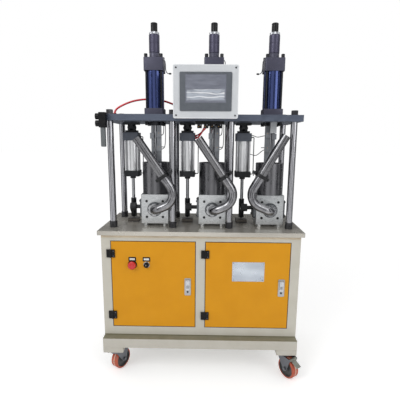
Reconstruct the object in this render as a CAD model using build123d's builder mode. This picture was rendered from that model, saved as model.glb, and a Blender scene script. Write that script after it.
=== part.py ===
"""Three-head sealant filling machine: cabinet on casters, post frame, three dosing units.

Frame: millimetres, X to the right, Y to the back, Z up. The origin lies on the floor under the table's centre.
"""

from build123d import *
from math import atan2, cos, degrees, pi, radians, sin, sqrt, tan
import os

os.makedirs("parts", exist_ok=True)

# Gaps between pieces
running_gap = 0.06
moving_gap = 0.3

# Cabinet, table and base
table_width = 1200.0
table_depth = 520.0
table_thickness = 25.0
cabinet_width = 1168.0
cabinet_depth = 480.0
cabinet_height = 635.0
base_depth = 570.0
base_height = 60.0
base_rail_width = 60.0
tube_wall = 4.0
drain_radius = 6.0
pad_size = 120.0
pad_height = 34.0
sheet_thickness = 2.5
stile_width = 54.0
bottom_rail_height = 55.5
top_rail_height = 36.5
face_frame_depth = 30.0
vent_slot_length = 70.0
vent_slot_height = 6.0
vent_slot_pitch = 16.0
vent_slot_count = 6
vent_row_drop = 120.0

# Doors and what is on them
door_gap = 2.5
door_thickness = 20.0
hinge_height = 48.0
hinge_leaf_width = 23.0
hinge_leaf_thickness = 7.0
hinge_knuckle_radius = 6.0
hinge_pin_radius = 2.5
hinge_axis_standoff = 6.5
hinge_inset = 80.0
latch_plate_width = 38.0
latch_plate_height = 108.0
latch_plate_thickness = 3.0
latch_edge_distance = 45.0
latch_drop = 9.0
latch_handle_width = 24.0
latch_handle_height = 60.0
latch_handle_thickness = 4.0
latch_pin_radius = 2.0
latch_button_radius = 6.0
latch_button_height = 3.0
control_drop = 146.0
e_stop_inset = 125.0
selector_inset = 209.0
e_stop_radius = 24.0
e_stop_thickness = 14.0
e_stop_travel = 4.0
e_stop_neck_radius = 11.0
switch_collar_radius = 14.5
switch_collar_height = 9.0
switch_bore_radius = 11.5
selector_radius = 11.2
selector_head_radius = 15.0
selector_height = 7.0
selector_grip_width = 8.0
selector_grip_height = 9.0
legend_width = 44.0
legend_height = 26.0
legend_thickness = 1.6
legend_rise = 34.0
nameplate_width = 190.0
nameplate_height = 120.0
nameplate_thickness = 1.2
nameplate_inset = 159.0
nameplate_drop = 122.0
nameplate_rivet_radius = 3.0
nameplate_rivet_height = 1.4

# Control gear inside the left bay
gear_plate_width = 430.0
gear_plate_height = 460.0
gear_plate_thickness = 2.5
gear_standoff = 20.0
gear_rail_depth = 8.0
gear_rail_height = 35.0
gear_rail_pitch = 170.0
gear_module_depth = 60.0

# Post frame
post_length = 628.0
post_radius = 19.0
post_reach = 530.0
post_inner_reach = 170.0
post_row_spacing = 284.0
plate_width = 1140.0
plate_depth = 385.0
plate_thickness = 36.0
plate_edge_chamfer = 2.0
plate_center_y = -8.0
collar_radius = 22.5
collar_height = 38.0
post_washer_radius = 23.0
post_washer_height = 4.0
post_nut_flats = 34.0
post_nut_height = 24.0

# The three dosing units
unit_count = 3
unit_pitch = 350.0
first_unit_x = -282.0
unit_y = -45.0

# Rotary valve under each metering cylinder
valve_foot_radius = 14.0
valve_foot_height = 17.0
valve_foot_spread = 120.0
valve_width = 166.0
valve_depth = 160.0
valve_height = 179.0
valve_edge_chamfer = 2.0
rotor_radius = 34.0
rotor_shaft_radius = 12.0
port_radius = 17.0
cover_size = 112.0
cover_thickness = 12.0
cover_screw_spacing = 90.0
cover_screw_radius = 6.0
cover_screw_height = 5.0
front_flange_radius = 44.0
front_flange_thickness = 12.0
union_nut_radius = 37.0
union_nut_length = 15.0
union_slot_count = 6
union_slot_width = 9.0
union_slot_depth = 4.0
body_screw_spacing = 98.0
body_screw_radius = 7.5
body_screw_height = 4.0
inlet_length = 26.0
ferrule_radius = 32.0
ferrule_thickness = 5.0

# Discharge pipe: elbow, clamp and filling tube
pipe_radius = 25.4
pipe_wall = 2.0
pipe_plane_y = -202.0
elbow_reach = 158.0
elbow_rise = 68.0
elbow_first_radius = 48.0
elbow_second_radius = 80.0
left_lean_degrees = 34.5
right_lean_degrees = 30.0
clamp_distance = 168.0
filling_tube_length = 264.0
gasket_gap = 1.5
clamp_radius = 40.0
clamp_width = 20.0
clamp_lug_width = 20.0
clamp_lug_length = 30.0
clamp_bolt_radius = 4.0
clamp_bolt_front = 31.0
clamp_bolt_back = 20.0
wing_span = 40.0
wing_thickness = 5.0
wing_height = 18.0

# Metering cylinder and dosing piston
barrel_radius = 82.5
barrel_wall = 8.0
barrel_height = 192.0
dosing_stroke = 150.0
piston_rest_height = 4.0
piston_height = 30.0
piston_groove_depth = 2.0
piston_groove_height = 5.0
rod_radius = 15.0
dog_radius = 20.0
dog_height = 16.0
dog_rise = 205.0

# Adjustable-stroke air cylinder on the top plate
cap_size = 114.0
cap_corner_radius = 8.0
lower_cap_height = 42.0
upper_cap_height = 72.0
air_tube_radius = 54.0
air_tube_wall = 4.0
air_tube_length = 212.0
air_piston_height = 24.0
air_piston_lift = 8.0
nose_radius = 29.0
nose_ring_radius = 38.0
nose_length = 20.0
neck_radius = 30.0
neck_height = 32.0
tie_rod_radius = 5.0
tie_rod_spacing = 88.0
tie_nut_radius = 10.0
tie_nut_height = 20.0
plate_nut_radius = 11.0
sleeve_radius = 31.0
sleeve_height = 100.0
sleeve_groove_depth = 1.2
sleeve_groove_height = 4.0
lock_ring_radius = 29.0
lock_ring_height = 13.0
knob_radius = 19.5
knob_height = 52.0
upper_rod_radius = 9.0
cap_port_radius = 7.0
cap_port_depth = 12.0

# Valve actuator: air cylinder, rod and slotted lever
actuator_offset_x = 158.0
lever_offset = 62.0
actuator_cap_size = 95.0
actuator_cap_corner = 6.0
actuator_lower_cap_height = 36.0
actuator_upper_cap_height = 49.0
actuator_radius = 42.0
actuator_wall = 3.0
actuator_length = 187.0
actuator_rest_gap = 4.0
actuator_piston_height = 20.0
actuator_tie_radius = 4.0
actuator_tie_spacing = 76.0
gland_radius = 18.0
gland_height = 15.0
actuator_rod_radius = 10.0
actuator_rod_clearance = 0.06
lever_share = 1.2
lever_thickness = 14.0
lever_hub_radius = 24.0
lever_hub_length = 36.0
lever_end_radius = 20.0
lever_end_reach = 84.0
lever_pin_radius = 6.0
lever_slot_gap = 3.9
clevis_gap = 0.6
clevis_arm = 8.0
clevis_depth = 26.0
clevis_tail = 16.0
clevis_crotch = 46.0
clevis_top = 62.0
coupling_radius = 17.0
coupling_top = 104.0
mount_flange_width = 92.0
mount_flange_depth = 64.0
mount_flange_height = 12.0
mount_lug_width = 22.0
mount_ear_width = 12.0
mount_ear_radius = 17.5
mount_pin_radius = 7.0
mount_pin_overhang = 4.0
mount_seat_height = 14.0
stop_block_width = 70.0
stop_block_depth = 60.0
stop_block_height = 20.0
fitting_radius = 6.0
fitting_length = 8.0
loop_tube_radius = 3.0
loop_bulge = 12.0

# Sensor rails
sensor_rail_width = 28.0
sensor_rail_thickness = 8.0
sensor_rail_length = 216.0
sensor_rail_gap = 3.0
sensor_rail_shift = 25.0
guide_rail_width = 12.0
guide_rail_shift = 16.0
guide_sensor_width = 22.0
sensor_height = 34.0
sensor_depth = 16.0
sensor_drop = 73.0
sensor_pitch = 83.0
sensor_cable_radius = 2.2
sensor_pin_radius = 2.5
sensor_pin_length = 20.0
cable_stub = 10.0
cap_lead_drop = 75.0
cap_lead_setback = 20.0
plug_radius = 5.0
plug_length = 14.0
junction_box_width = 36.0
junction_box_depth = 20.0
junction_box_height = 62.0
junction_box_shift = 3.0

# Operator panel
hmi_width = 355.0
hmi_height = 281.0
hmi_center_x = 21.5
hmi_bottom_z = 1549.0
hmi_depth = 38.0
hmi_corner_radius = 9.0
hmi_wall = 2.5
hmi_back_width = 240.0
hmi_back_height = 210.0
hmi_back_depth = 70.0
hmi_screw_inset = 16.0
hmi_screw_radius = 4.0
hmi_screw_height = 1.5
hmi_foot_length = 30.0
hmi_foot_thickness = 4.0
bezel_width = 282.0
bezel_height = 204.0
bezel_corner_radius = 6.0
bezel_proud = 6.0
bezel_recess = 2.0
screen_width = 226.0
screen_height = 152.0
screen_shift = 16.0
screen_thickness = 1.4

# Air supply: filter regulator, solenoid valves, manifold and hoses
regulator_x = -548.0
regulator_size = 38.0
regulator_height = 82.0
regulator_drop = 41.0
regulator_corner_radius = 5.0
regulator_stand_off = 8.0
gauge_radius = 17.0
gauge_length = 20.0
gauge_spacing = 38.0
bowl_radius = 14.5
bowl_length = 106.0
valve_bank_x = 45.0
valve_bank_y = -160.0
valve_bank_width = 160.0
valve_bank_depth = 58.0
valve_bank_height = 14.0
solenoid_count = 4
solenoid_pitch = 38.0
solenoid_width = 26.0
solenoid_depth = 50.0
solenoid_height = 24.0
manifold_x = -118.0
manifold_y = 45.0
manifold_size = 44.0
manifold_height = 40.0
bulkhead_x = -552.0
bulkhead_radius = 11.0
bulkhead_height = 22.0
red_hose_radius = 6.0
red_hose_arch = 112.0
red_hose_bulge = 14.0
red_hose_steps = 8
hose_stub = 22.0
supply_hose_radius = 5.0
supply_hose_pitch = 13.0

# Casters
caster_height = 156.0
wheel_radius = 62.5
wheel_width = 48.0
tread_thickness = 12.0
wheel_shoulder_radius = 7.0
hub_radius = 20.0
wheel_web_width = 26.0
axle_radius = 6.0
axle_nut_flats = 19.0
axle_nut_height = 8.0
caster_trail = 40.0
caster_plate_length = 110.0
caster_plate_width = 92.0
caster_plate_thickness = 4.0
caster_plate_corner = 10.0
caster_bolt_radius = 7.0
caster_bolt_height = 6.0
caster_bolt_spacing_x = 84.0
caster_bolt_spacing_y = 66.0
raceway_radius = 31.0
raceway_height = 6.0
crown_radius = 37.0
crown_height = 14.0
fork_leg_gap = 4.0
fork_leg_thickness = 4.0
fork_axle_boss_radius = 15.0
fork_leg_top = 8.0
fork_back_reach = 22.0
kingpin_radius = 8.0
kingpin_head_radius = 12.0
kingpin_head_height = 3.5
pedal_pivot_reach = 70.0
pedal_pivot_height = 130.0
pedal_pivot_radius = 4.0
pedal_barrel_radius = 8.0
pedal_length = 48.0
pedal_width = 34.0
pedal_drop = 22.0
pedal_thickness = 4.0
pedal_lip = 8.0
pedal_play = 1.0
swivel_angles = {"front_left": 60.0, "front_right": -57.0, "rear_left": 100.0, "rear_right": 75.0}
braked_casters = ("front_left", "front_right")

# Heights that follow from the stack
base_bottom_z = caster_height + pad_height
cabinet_bottom_z = base_bottom_z + base_height
table_bottom_z = cabinet_bottom_z + cabinet_height
table_top_z = table_bottom_z + table_thickness
plate_bottom_z = table_top_z + post_length
plate_top_z = plate_bottom_z + plate_thickness
cabinet_front_y = -cabinet_depth / 2
plate_front_y = plate_center_y - plate_depth / 2
door_open_bottom_z = cabinet_bottom_z + bottom_rail_height
door_open_top_z = table_bottom_z - top_rail_height
door_open_height = door_open_top_z - door_open_bottom_z
door_open_width = (cabinet_width - 3 * stile_width) / 2
door_open_center_x = (stile_width + door_open_width) / 2
door_width = door_open_width - 2 * door_gap
door_height = door_open_height - 2 * door_gap
door_center_z = (door_open_bottom_z + door_open_top_z) / 2
door_left_edges = {"left": -door_open_center_x - door_width / 2, "right": door_open_center_x - door_width / 2}
valve_bottom_z = table_top_z + valve_foot_height
valve_axis_z = valve_bottom_z + valve_height / 2
valve_top_z = valve_bottom_z + valve_height
valve_front_y = unit_y - valve_depth / 2
valve_back_y = unit_y + valve_depth / 2
actuator_y = unit_y + lever_offset
unit_centers = [first_unit_x + i * unit_pitch for i in range(unit_count)]
unit_points = [(x, unit_y) for x in unit_centers]
unit_hands = [1 if i < unit_count - 1 else -1 for i in range(unit_count)]


def save(builder, name):
    """Labels a finished piece and writes its STEP file."""
    builder.part.label = name
    export_step(builder.part, f"parts/{name}.step")


def front_plane(x, y, z):
    """A plane that faces the viewer: local x to the right, local y up, normal to the front."""
    return Plane(origin=(x, y, z), x_dir=(1, 0, 0), z_dir=(0, -1, 0))


def side_plane(x, y, z):
    """A plane across the X axis: local x to the back, local y up, normal to the right."""
    return Plane(origin=(x, y, z), x_dir=(0, 1, 0), z_dir=(1, 0, 0))


def tube_radii(points):
    """Arc radii for a hose path: 0.45 of the shorter run beside each corner over the tangent of half its turn."""
    vectors = [Vector(*p) for p in points]
    radii = []
    for before, here, after in zip(vectors, vectors[1:], vectors[2:]):
        turn = (here - before).get_angle(after - here)
        shorter = min((here - before).length, (after - here).length)
        radii.append(0.45 * shorter / tan(radians(turn / 2)))
    return radii


# Base frame: welded tube rails with a pad block under each corner
with BuildPart() as base_frame:
    with BuildSketch(Plane.XY.offset(base_bottom_z)):
        Rectangle(cabinet_width, base_depth)
        Rectangle(cabinet_width - 2 * base_rail_width, base_depth - 2 * base_rail_width, mode=Mode.SUBTRACT)
    extrude(amount=base_height)
    with BuildSketch(Plane.XY.offset(base_bottom_z + tube_wall)):
        Rectangle(cabinet_width - 2 * tube_wall, base_depth - 2 * tube_wall)
        Rectangle(
            cabinet_width - 2 * (base_rail_width - tube_wall),
            base_depth - 2 * (base_rail_width - tube_wall),
            mode=Mode.SUBTRACT,
        )
    extrude(amount=base_height - 2 * tube_wall, mode=Mode.SUBTRACT)
    with BuildSketch(Plane.XY.offset(base_bottom_z)):
        with GridLocations(cabinet_width / 2, base_depth - base_rail_width, 2, 2):
            Circle(drain_radius)
    extrude(amount=tube_wall, mode=Mode.SUBTRACT)
    with BuildSketch(Plane.XY.offset(caster_height)):
        with GridLocations(cabinet_width - pad_size, base_depth - pad_size, 2, 2):
            Rectangle(pad_size, pad_size)
    extrude(amount=pad_height)
save(base_frame, "base_frame")

# Face frame: folded sheet stiles and rails, open channels at the back
with BuildPart() as cabinet_frame:
    with BuildSketch(front_plane(0, cabinet_front_y + face_frame_depth, (cabinet_bottom_z + table_bottom_z) / 2)):
        Rectangle(cabinet_width, cabinet_height)
    extrude(amount=face_frame_depth)
    with BuildSketch(front_plane(0, cabinet_front_y, door_center_z)):
        with GridLocations(2 * door_open_center_x, 0, 2, 1):
            Rectangle(door_open_width, door_open_height)
    extrude(amount=-face_frame_depth, mode=Mode.SUBTRACT)
    with BuildSketch(
        front_plane(0, cabinet_front_y + sheet_thickness, (cabinet_bottom_z + table_bottom_z) / 2)
    ) as channel_hollow:
        Rectangle(cabinet_width - 2 * sheet_thickness, cabinet_height - 2 * sheet_thickness)
        with Locations((0, door_center_z - (cabinet_bottom_z + table_bottom_z) / 2)):
            with GridLocations(2 * door_open_center_x, 0, 2, 1):
                Rectangle(
                    door_open_width + 2 * sheet_thickness,
                    door_open_height + 2 * sheet_thickness,
                    mode=Mode.SUBTRACT,
                )
    extrude(amount=-face_frame_depth, mode=Mode.SUBTRACT)
save(cabinet_frame, "cabinet_frame")

# Cabinet body: sides, back and floor of folded sheet with ventilation slots in both sides
panel_depth = cabinet_depth - face_frame_depth
with BuildPart() as cabinet_panels:
    with BuildSketch(Plane.XY.offset(cabinet_bottom_z)):
        with Locations((0, face_frame_depth / 2)):
            Rectangle(cabinet_width, panel_depth)
    extrude(amount=cabinet_height)
    with BuildSketch(Plane.XY.offset(cabinet_bottom_z + sheet_thickness)):
        with Locations((0, (face_frame_depth - sheet_thickness) / 2)):
            Rectangle(cabinet_width - 2 * sheet_thickness, panel_depth - sheet_thickness)
    extrude(amount=cabinet_height, mode=Mode.SUBTRACT)
    with BuildSketch(side_plane(-cabinet_width / 2, face_frame_depth / 2, table_bottom_z - vent_row_drop)):
        with GridLocations(panel_depth / 3, vent_slot_pitch, 2, vent_slot_count):
            Rectangle(vent_slot_length, vent_slot_height)
    extrude(amount=cabinet_width, mode=Mode.SUBTRACT)
save(cabinet_panels, "cabinet_panels")

# Mounting plate with rails, controller, supply and relays on the back wall of the left bay
gear_plate_y = cabinet_depth / 2 - sheet_thickness - gear_standoff
with BuildPart() as control_panel:
    with BuildSketch(front_plane(-door_open_center_x, gear_plate_y, door_center_z)):
        Rectangle(gear_plate_width, gear_plate_height)
    extrude(amount=gear_plate_thickness)
    with BuildSketch(front_plane(-door_open_center_x, gear_plate_y, door_center_z)):
        with GridLocations(gear_plate_width * 0.8, gear_plate_height * 0.8, 2, 2):
            Circle(tube_wall)
    extrude(amount=-gear_standoff)
    rail_face_y = gear_plate_y - gear_plate_thickness
    with BuildSketch(front_plane(-door_open_center_x, rail_face_y, door_center_z)):
        with GridLocations(0, gear_rail_pitch, 1, 2):
            Rectangle(gear_plate_width * 0.86, gear_rail_height)
    extrude(amount=gear_rail_depth)
    with BuildSketch(front_plane(-door_open_center_x, rail_face_y - gear_rail_depth, door_center_z)):
        with Locations((-gear_plate_width * 0.24, gear_rail_pitch / 2)):
            Rectangle(gear_plate_width * 0.34, gear_rail_pitch * 0.56)
        with Locations((gear_plate_width * 0.17, gear_rail_pitch / 2)):
            Rectangle(gear_plate_width * 0.22, gear_rail_pitch * 0.62)
        with Locations((-gear_plate_width * 0.1, -gear_rail_pitch / 2)):
            with GridLocations(gear_plate_width * 0.1, 0, 5, 1):
                Rectangle(gear_plate_width * 0.085, gear_rail_pitch * 0.45)
    extrude(amount=gear_module_depth)
save(control_panel, "control_panel")

# Table top
with BuildPart() as table_top:
    with BuildSketch(Plane.XY.offset(table_bottom_z)):
        Rectangle(table_width, table_depth)
    extrude(amount=table_thickness)
    chamfer(table_top.edges().filter_by(Axis.Z), plate_edge_chamfer)
save(table_top, "table_top")

# Posts between the table and the top plate
post_xs = (-post_reach, -post_inner_reach, post_inner_reach, post_reach)
post_points = [(x, plate_center_y + side * post_row_spacing / 2) for x in post_xs for side in (-1, 1)]
with BuildPart() as guide_posts:
    with BuildSketch(Plane.XY.offset(table_top_z)):
        with Locations(*post_points):
            Circle(post_radius)
    extrude(amount=post_length)
save(guide_posts, "guide_posts")

# Foot collars round the posts, washers and nuts on the plate above them
with BuildPart() as post_fasteners:
    with BuildSketch(Plane.XY.offset(table_top_z)):
        with Locations(*post_points):
            Circle(collar_radius)
            Circle(post_radius + running_gap, mode=Mode.SUBTRACT)
    extrude(amount=collar_height)
    with BuildSketch(Plane.XY.offset(plate_top_z)):
        with Locations(*post_points):
            Circle(post_washer_radius)
    extrude(amount=post_washer_height)
    with BuildSketch(Plane.XY.offset(plate_top_z + post_washer_height)):
        with Locations(*post_points):
            RegularPolygon(post_nut_flats / 2, 6, major_radius=False)
    extrude(amount=post_nut_height)
save(post_fasteners, "post_fasteners")

# Top plate, bored for the noses of the three air cylinders
with BuildPart() as top_plate:
    with BuildSketch(Plane.XY.offset(plate_bottom_z)):
        with Locations((0, plate_center_y)):
            Rectangle(plate_width, plate_depth)
        with Locations(*unit_points):
            Circle(nose_radius + moving_gap, mode=Mode.SUBTRACT)
            with GridLocations(tie_rod_spacing, tie_rod_spacing, 2, 2):
                Circle(tie_rod_radius + running_gap, mode=Mode.SUBTRACT)
    extrude(amount=plate_thickness)
    chamfer(top_plate.edges().filter_by(Axis.Z), plate_edge_chamfer)
save(top_plate, "top_plate")

# Metering cylinders: open-topped barrels on the valve blocks
with BuildPart() as metering_cylinders:
    with BuildSketch(Plane.XY.offset(valve_top_z)):
        with Locations(*unit_points):
            Circle(barrel_radius)
            Circle(barrel_radius - barrel_wall, mode=Mode.SUBTRACT)
    extrude(amount=barrel_height)
save(metering_cylinders, "metering_cylinders")

# Valve blocks: feet, cross bore for the rotor, ports up, front and back, feed ferrule at the back
with BuildPart() as valve_bodies:
    with BuildSketch(Plane.XY.offset(valve_bottom_z)):
        with Locations(*unit_points):
            Rectangle(valve_width, valve_depth)
    extrude(amount=valve_height)
    chamfer(valve_bodies.edges().filter_by(Axis.Z), valve_edge_chamfer)
    with BuildSketch(Plane.XY.offset(table_top_z)):
        with Locations(*unit_points):
            with GridLocations(valve_foot_spread, valve_foot_spread, 2, 2):
                Circle(valve_foot_radius)
    extrude(amount=valve_foot_height)
    for x in unit_centers:
        with BuildSketch(front_plane(x, valve_back_y, valve_axis_z)):
            Circle(pipe_radius)
        extrude(amount=-inlet_length)
        with BuildSketch(front_plane(x, valve_back_y + inlet_length, valve_axis_z)):
            Circle(ferrule_radius)
        extrude(amount=ferrule_thickness)
        with BuildSketch(front_plane(x, valve_front_y, valve_axis_z)):
            Circle(port_radius)
        extrude(amount=-valve_depth - inlet_length, mode=Mode.SUBTRACT)
        with BuildSketch(Plane.XY.offset(valve_top_z)):
            with Locations((x, unit_y)):
                Circle(port_radius)
        extrude(amount=-valve_height / 2, mode=Mode.SUBTRACT)
        with BuildSketch(side_plane(x - valve_width / 2, unit_y, valve_axis_z)):
            Circle(rotor_radius + running_gap)
        extrude(amount=valve_width, mode=Mode.SUBTRACT)
save(valve_bodies, "valve_bodies")

# Valve covers: a bored plate on the shaft side, a blind one opposite, the front flange, its union nut and all screws
with BuildPart() as valve_covers:
    for x in unit_centers:
        with BuildSketch(side_plane(x - valve_width / 2 - cover_thickness, unit_y, valve_axis_z)):
            RectangleRounded(cover_size, cover_size, cover_screw_radius)
            Circle(rotor_shaft_radius + running_gap, mode=Mode.SUBTRACT)
        extrude(amount=cover_thickness)
        with BuildSketch(side_plane(x + valve_width / 2, unit_y, valve_axis_z)):
            RectangleRounded(cover_size, cover_size, cover_screw_radius)
        extrude(amount=cover_thickness)
        cover_faces = (x - valve_width / 2 - cover_thickness - cover_screw_height, x + valve_width / 2 + cover_thickness)
        for face_x in cover_faces:
            with BuildSketch(side_plane(face_x, unit_y, valve_axis_z)):
                with GridLocations(cover_screw_spacing, cover_screw_spacing, 2, 2):
                    Circle(cover_screw_radius)
            extrude(amount=cover_screw_height)
        with BuildSketch(front_plane(x, valve_front_y, valve_axis_z)):
            Circle(front_flange_radius)
            Circle(port_radius, mode=Mode.SUBTRACT)
        extrude(amount=front_flange_thickness)
        with BuildSketch(front_plane(x, valve_front_y - front_flange_thickness, valve_axis_z)):
            Circle(union_nut_radius)
            Circle(pipe_radius + moving_gap, mode=Mode.SUBTRACT)
            with PolarLocations(union_nut_radius, union_slot_count):
                Rectangle(2 * union_slot_depth, union_slot_width, mode=Mode.SUBTRACT)
        extrude(amount=union_nut_length)
        with BuildSketch(front_plane(x, valve_front_y, valve_axis_z)):
            with GridLocations(body_screw_spacing, body_screw_spacing, 2, 2):
                Circle(body_screw_radius)
        extrude(amount=body_screw_height)
save(valve_covers, "valve_covers")

# Discharge elbows: out of the front flange, across and up to the clamp
leans = {1: radians(left_lean_degrees), -1: radians(right_lean_degrees)}
pipe_start_y = valve_front_y - front_flange_thickness
corner_z = valve_axis_z + elbow_rise


def pipe_point(x, hand, distance):
    """A point on the inclined tube's axis, measured from the elbow's upper corner."""
    return (
        x + hand * (elbow_reach - distance * sin(leans[hand])),
        pipe_plane_y,
        corner_z + distance * cos(leans[hand]),
    )


def pipe_plane(x, hand, distance):
    """A plane across the inclined tube: local x along Y, normal up the tube."""
    return Plane(
        origin=pipe_point(x, hand, distance),
        x_dir=(0, 1, 0),
        z_dir=(-hand * sin(leans[hand]), 0, cos(leans[hand])),
    )


elbow_end = clamp_distance - gasket_gap / 2
elbow_parts = []
for x, hand in zip(unit_centers, unit_hands):
    with BuildPart() as elbow:
        with BuildLine() as elbow_path:
            FilletPolyline(
                (x, pipe_start_y, valve_axis_z),
                (x, pipe_plane_y, valve_axis_z),
                (x + hand * elbow_reach, pipe_plane_y, corner_z),
                pipe_point(x, hand, elbow_end),
                radius=[elbow_first_radius, elbow_second_radius],
            )
        with BuildSketch(front_plane(x, pipe_start_y, valve_axis_z)):
            Circle(pipe_radius)
            Circle(pipe_radius - pipe_wall, mode=Mode.SUBTRACT)
        sweep(path=elbow_path.line)
        with BuildSketch(pipe_plane(x, hand, elbow_end - ferrule_thickness)):
            Circle(ferrule_radius)
            Circle(pipe_radius - pipe_wall, mode=Mode.SUBTRACT)
        extrude(amount=ferrule_thickness)
    elbow_parts.append(elbow.part)
with BuildPart() as discharge_elbows:
    add(elbow_parts)
save(discharge_elbows, "discharge_elbows")

# Filling tubes: straight, inclined and open at the top
tube_start = clamp_distance + gasket_gap / 2
with BuildPart() as filling_tubes:
    for x, hand in zip(unit_centers, unit_hands):
        with BuildSketch(pipe_plane(x, hand, tube_start)):
            Circle(pipe_radius)
            Circle(pipe_radius - pipe_wall, mode=Mode.SUBTRACT)
        extrude(amount=filling_tube_length)
        with BuildSketch(pipe_plane(x, hand, tube_start)):
            Circle(ferrule_radius)
            Circle(pipe_radius - pipe_wall, mode=Mode.SUBTRACT)
        extrude(amount=ferrule_thickness)
save(filling_tubes, "filling_tubes")

# Clamps round the ferrules: gasket, ring with lugs, bolt and wing nut
with BuildPart() as pipe_clamps:
    for x, hand in zip(unit_centers, unit_hands):
        with BuildSketch(pipe_plane(x, hand, elbow_end)):
            Circle(ferrule_radius)
            Circle(pipe_radius - pipe_wall, mode=Mode.SUBTRACT)
        extrude(amount=gasket_gap)
        with BuildSketch(pipe_plane(x, hand, clamp_distance - clamp_width / 2)):
            Circle(clamp_radius)
            with Locations((0, -hand * clamp_radius)):
                Rectangle(clamp_lug_length, clamp_lug_length)
            with Locations((0, hand * clamp_radius)):
                Rectangle(clamp_lug_width, clamp_lug_width)
            Circle(ferrule_radius + moving_gap, mode=Mode.SUBTRACT)
        extrude(amount=clamp_width)
        lug_plane = pipe_plane(x, hand, clamp_distance)
        lug_side = lug_plane.y_dir * -hand
        bolt_center = lug_plane.origin + lug_side * (clamp_radius + clamp_lug_length / 4)
        bolt_start = bolt_center + Vector(0, -1, 0) * clamp_bolt_front
        with BuildSketch(Plane(origin=bolt_start, x_dir=lug_plane.z_dir, z_dir=(0, 1, 0))):
            Circle(clamp_bolt_radius)
        extrude(amount=clamp_bolt_front + clamp_bolt_back)
        wing_start = bolt_center + Vector(0, -1, 0) * (clamp_bolt_front + wing_height / 2)
        with BuildSketch(Plane(origin=wing_start, x_dir=lug_plane.z_dir, z_dir=(0, 1, 0))):
            Circle(clamp_bolt_radius * 2)
            SlotOverall(wing_span, wing_thickness)
        extrude(amount=wing_height)
save(pipe_clamps, "pipe_clamps")

# Air cylinders on the plate: navy tubes between two square caps
tube_bottom_z = plate_top_z + lower_cap_height
tube_top_z = tube_bottom_z + air_tube_length
cap_top_z = tube_top_z + upper_cap_height
neck_top_z = cap_top_z + neck_height
with BuildPart() as air_cylinder_tubes:
    with BuildSketch(Plane.XY.offset(tube_bottom_z)):
        with Locations(*unit_points):
            Circle(air_tube_radius)
            Circle(air_tube_radius - air_tube_wall, mode=Mode.SUBTRACT)
    extrude(amount=air_tube_length)
save(air_cylinder_tubes, "air_cylinder_tubes")

# Caps of the air cylinders: nose and lock ring under the plate, neck on top, side ports
with BuildPart() as air_cylinder_caps:
    with BuildSketch(Plane.XY.offset(plate_top_z)):
        with Locations(*unit_points):
            RectangleRounded(cap_size, cap_size, cap_corner_radius)
    extrude(amount=lower_cap_height)
    with BuildSketch(Plane.XY.offset(tube_top_z)):
        with Locations(*unit_points):
            RectangleRounded(cap_size, cap_size, cap_corner_radius)
    extrude(amount=upper_cap_height)
    with BuildSketch(Plane.XY.offset(plate_bottom_z - nose_length)):
        with Locations(*unit_points):
            Circle(nose_radius)
    extrude(amount=nose_length + plate_thickness)
    with BuildSketch(Plane.XY.offset(cap_top_z)):
        with Locations(*unit_points):
            Circle(neck_radius)
    extrude(amount=neck_height)
    with BuildSketch(Plane.XY.offset(plate_top_z)):
        with Locations(*unit_points):
            with GridLocations(tie_rod_spacing, tie_rod_spacing, 2, 2):
                Circle(tie_rod_radius + running_gap)
    extrude(amount=cap_top_z - plate_top_z, mode=Mode.SUBTRACT)
    with BuildSketch(Plane.XY.offset(plate_bottom_z - nose_length)):
        with Locations(*unit_points):
            Circle(rod_radius + running_gap)
    extrude(amount=tube_bottom_z - plate_bottom_z + nose_length, mode=Mode.SUBTRACT)
    with BuildSketch(Plane.XY.offset(tube_top_z)):
        with Locations(*unit_points):
            Circle(upper_rod_radius + running_gap)
    extrude(amount=neck_top_z - tube_top_z, mode=Mode.SUBTRACT)
    for x in unit_centers:
        for port_z in (plate_top_z + lower_cap_height / 2, tube_top_z + upper_cap_height / 2):
            with BuildSketch(side_plane(x + cap_size / 2, unit_y, port_z)):
                Circle(cap_port_radius)
            extrude(amount=-cap_port_depth, mode=Mode.SUBTRACT)
    with BuildSketch(Plane.XY.offset(plate_bottom_z - nose_length)):
        with Locations(*unit_points):
            Circle(nose_ring_radius)
            Circle(nose_radius + running_gap, mode=Mode.SUBTRACT)
    extrude(amount=nose_length)
save(air_cylinder_caps, "air_cylinder_caps")

# Tie rods through caps and plate, with round nuts at both ends
with BuildPart() as air_cylinder_tie_rods:
    with BuildSketch(Plane.XY.offset(plate_bottom_z - tie_nut_height)):
        with Locations(*unit_points):
            with GridLocations(tie_rod_spacing, tie_rod_spacing, 2, 2):
                Circle(tie_rod_radius)
    extrude(amount=cap_top_z - plate_bottom_z + tie_nut_height)
    with BuildSketch(Plane.XY.offset(plate_bottom_z - tie_nut_height)):
        with Locations(*unit_points):
            with GridLocations(tie_rod_spacing, tie_rod_spacing, 2, 2):
                Circle(plate_nut_radius)
    extrude(amount=tie_nut_height)
    with BuildSketch(Plane.XY.offset(cap_top_z)):
        with Locations(*unit_points):
            with GridLocations(tie_rod_spacing, tie_rod_spacing, 2, 2):
                Circle(tie_nut_radius)
    extrude(amount=tie_nut_height)
save(air_cylinder_tie_rods, "air_cylinder_tie_rods")

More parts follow.
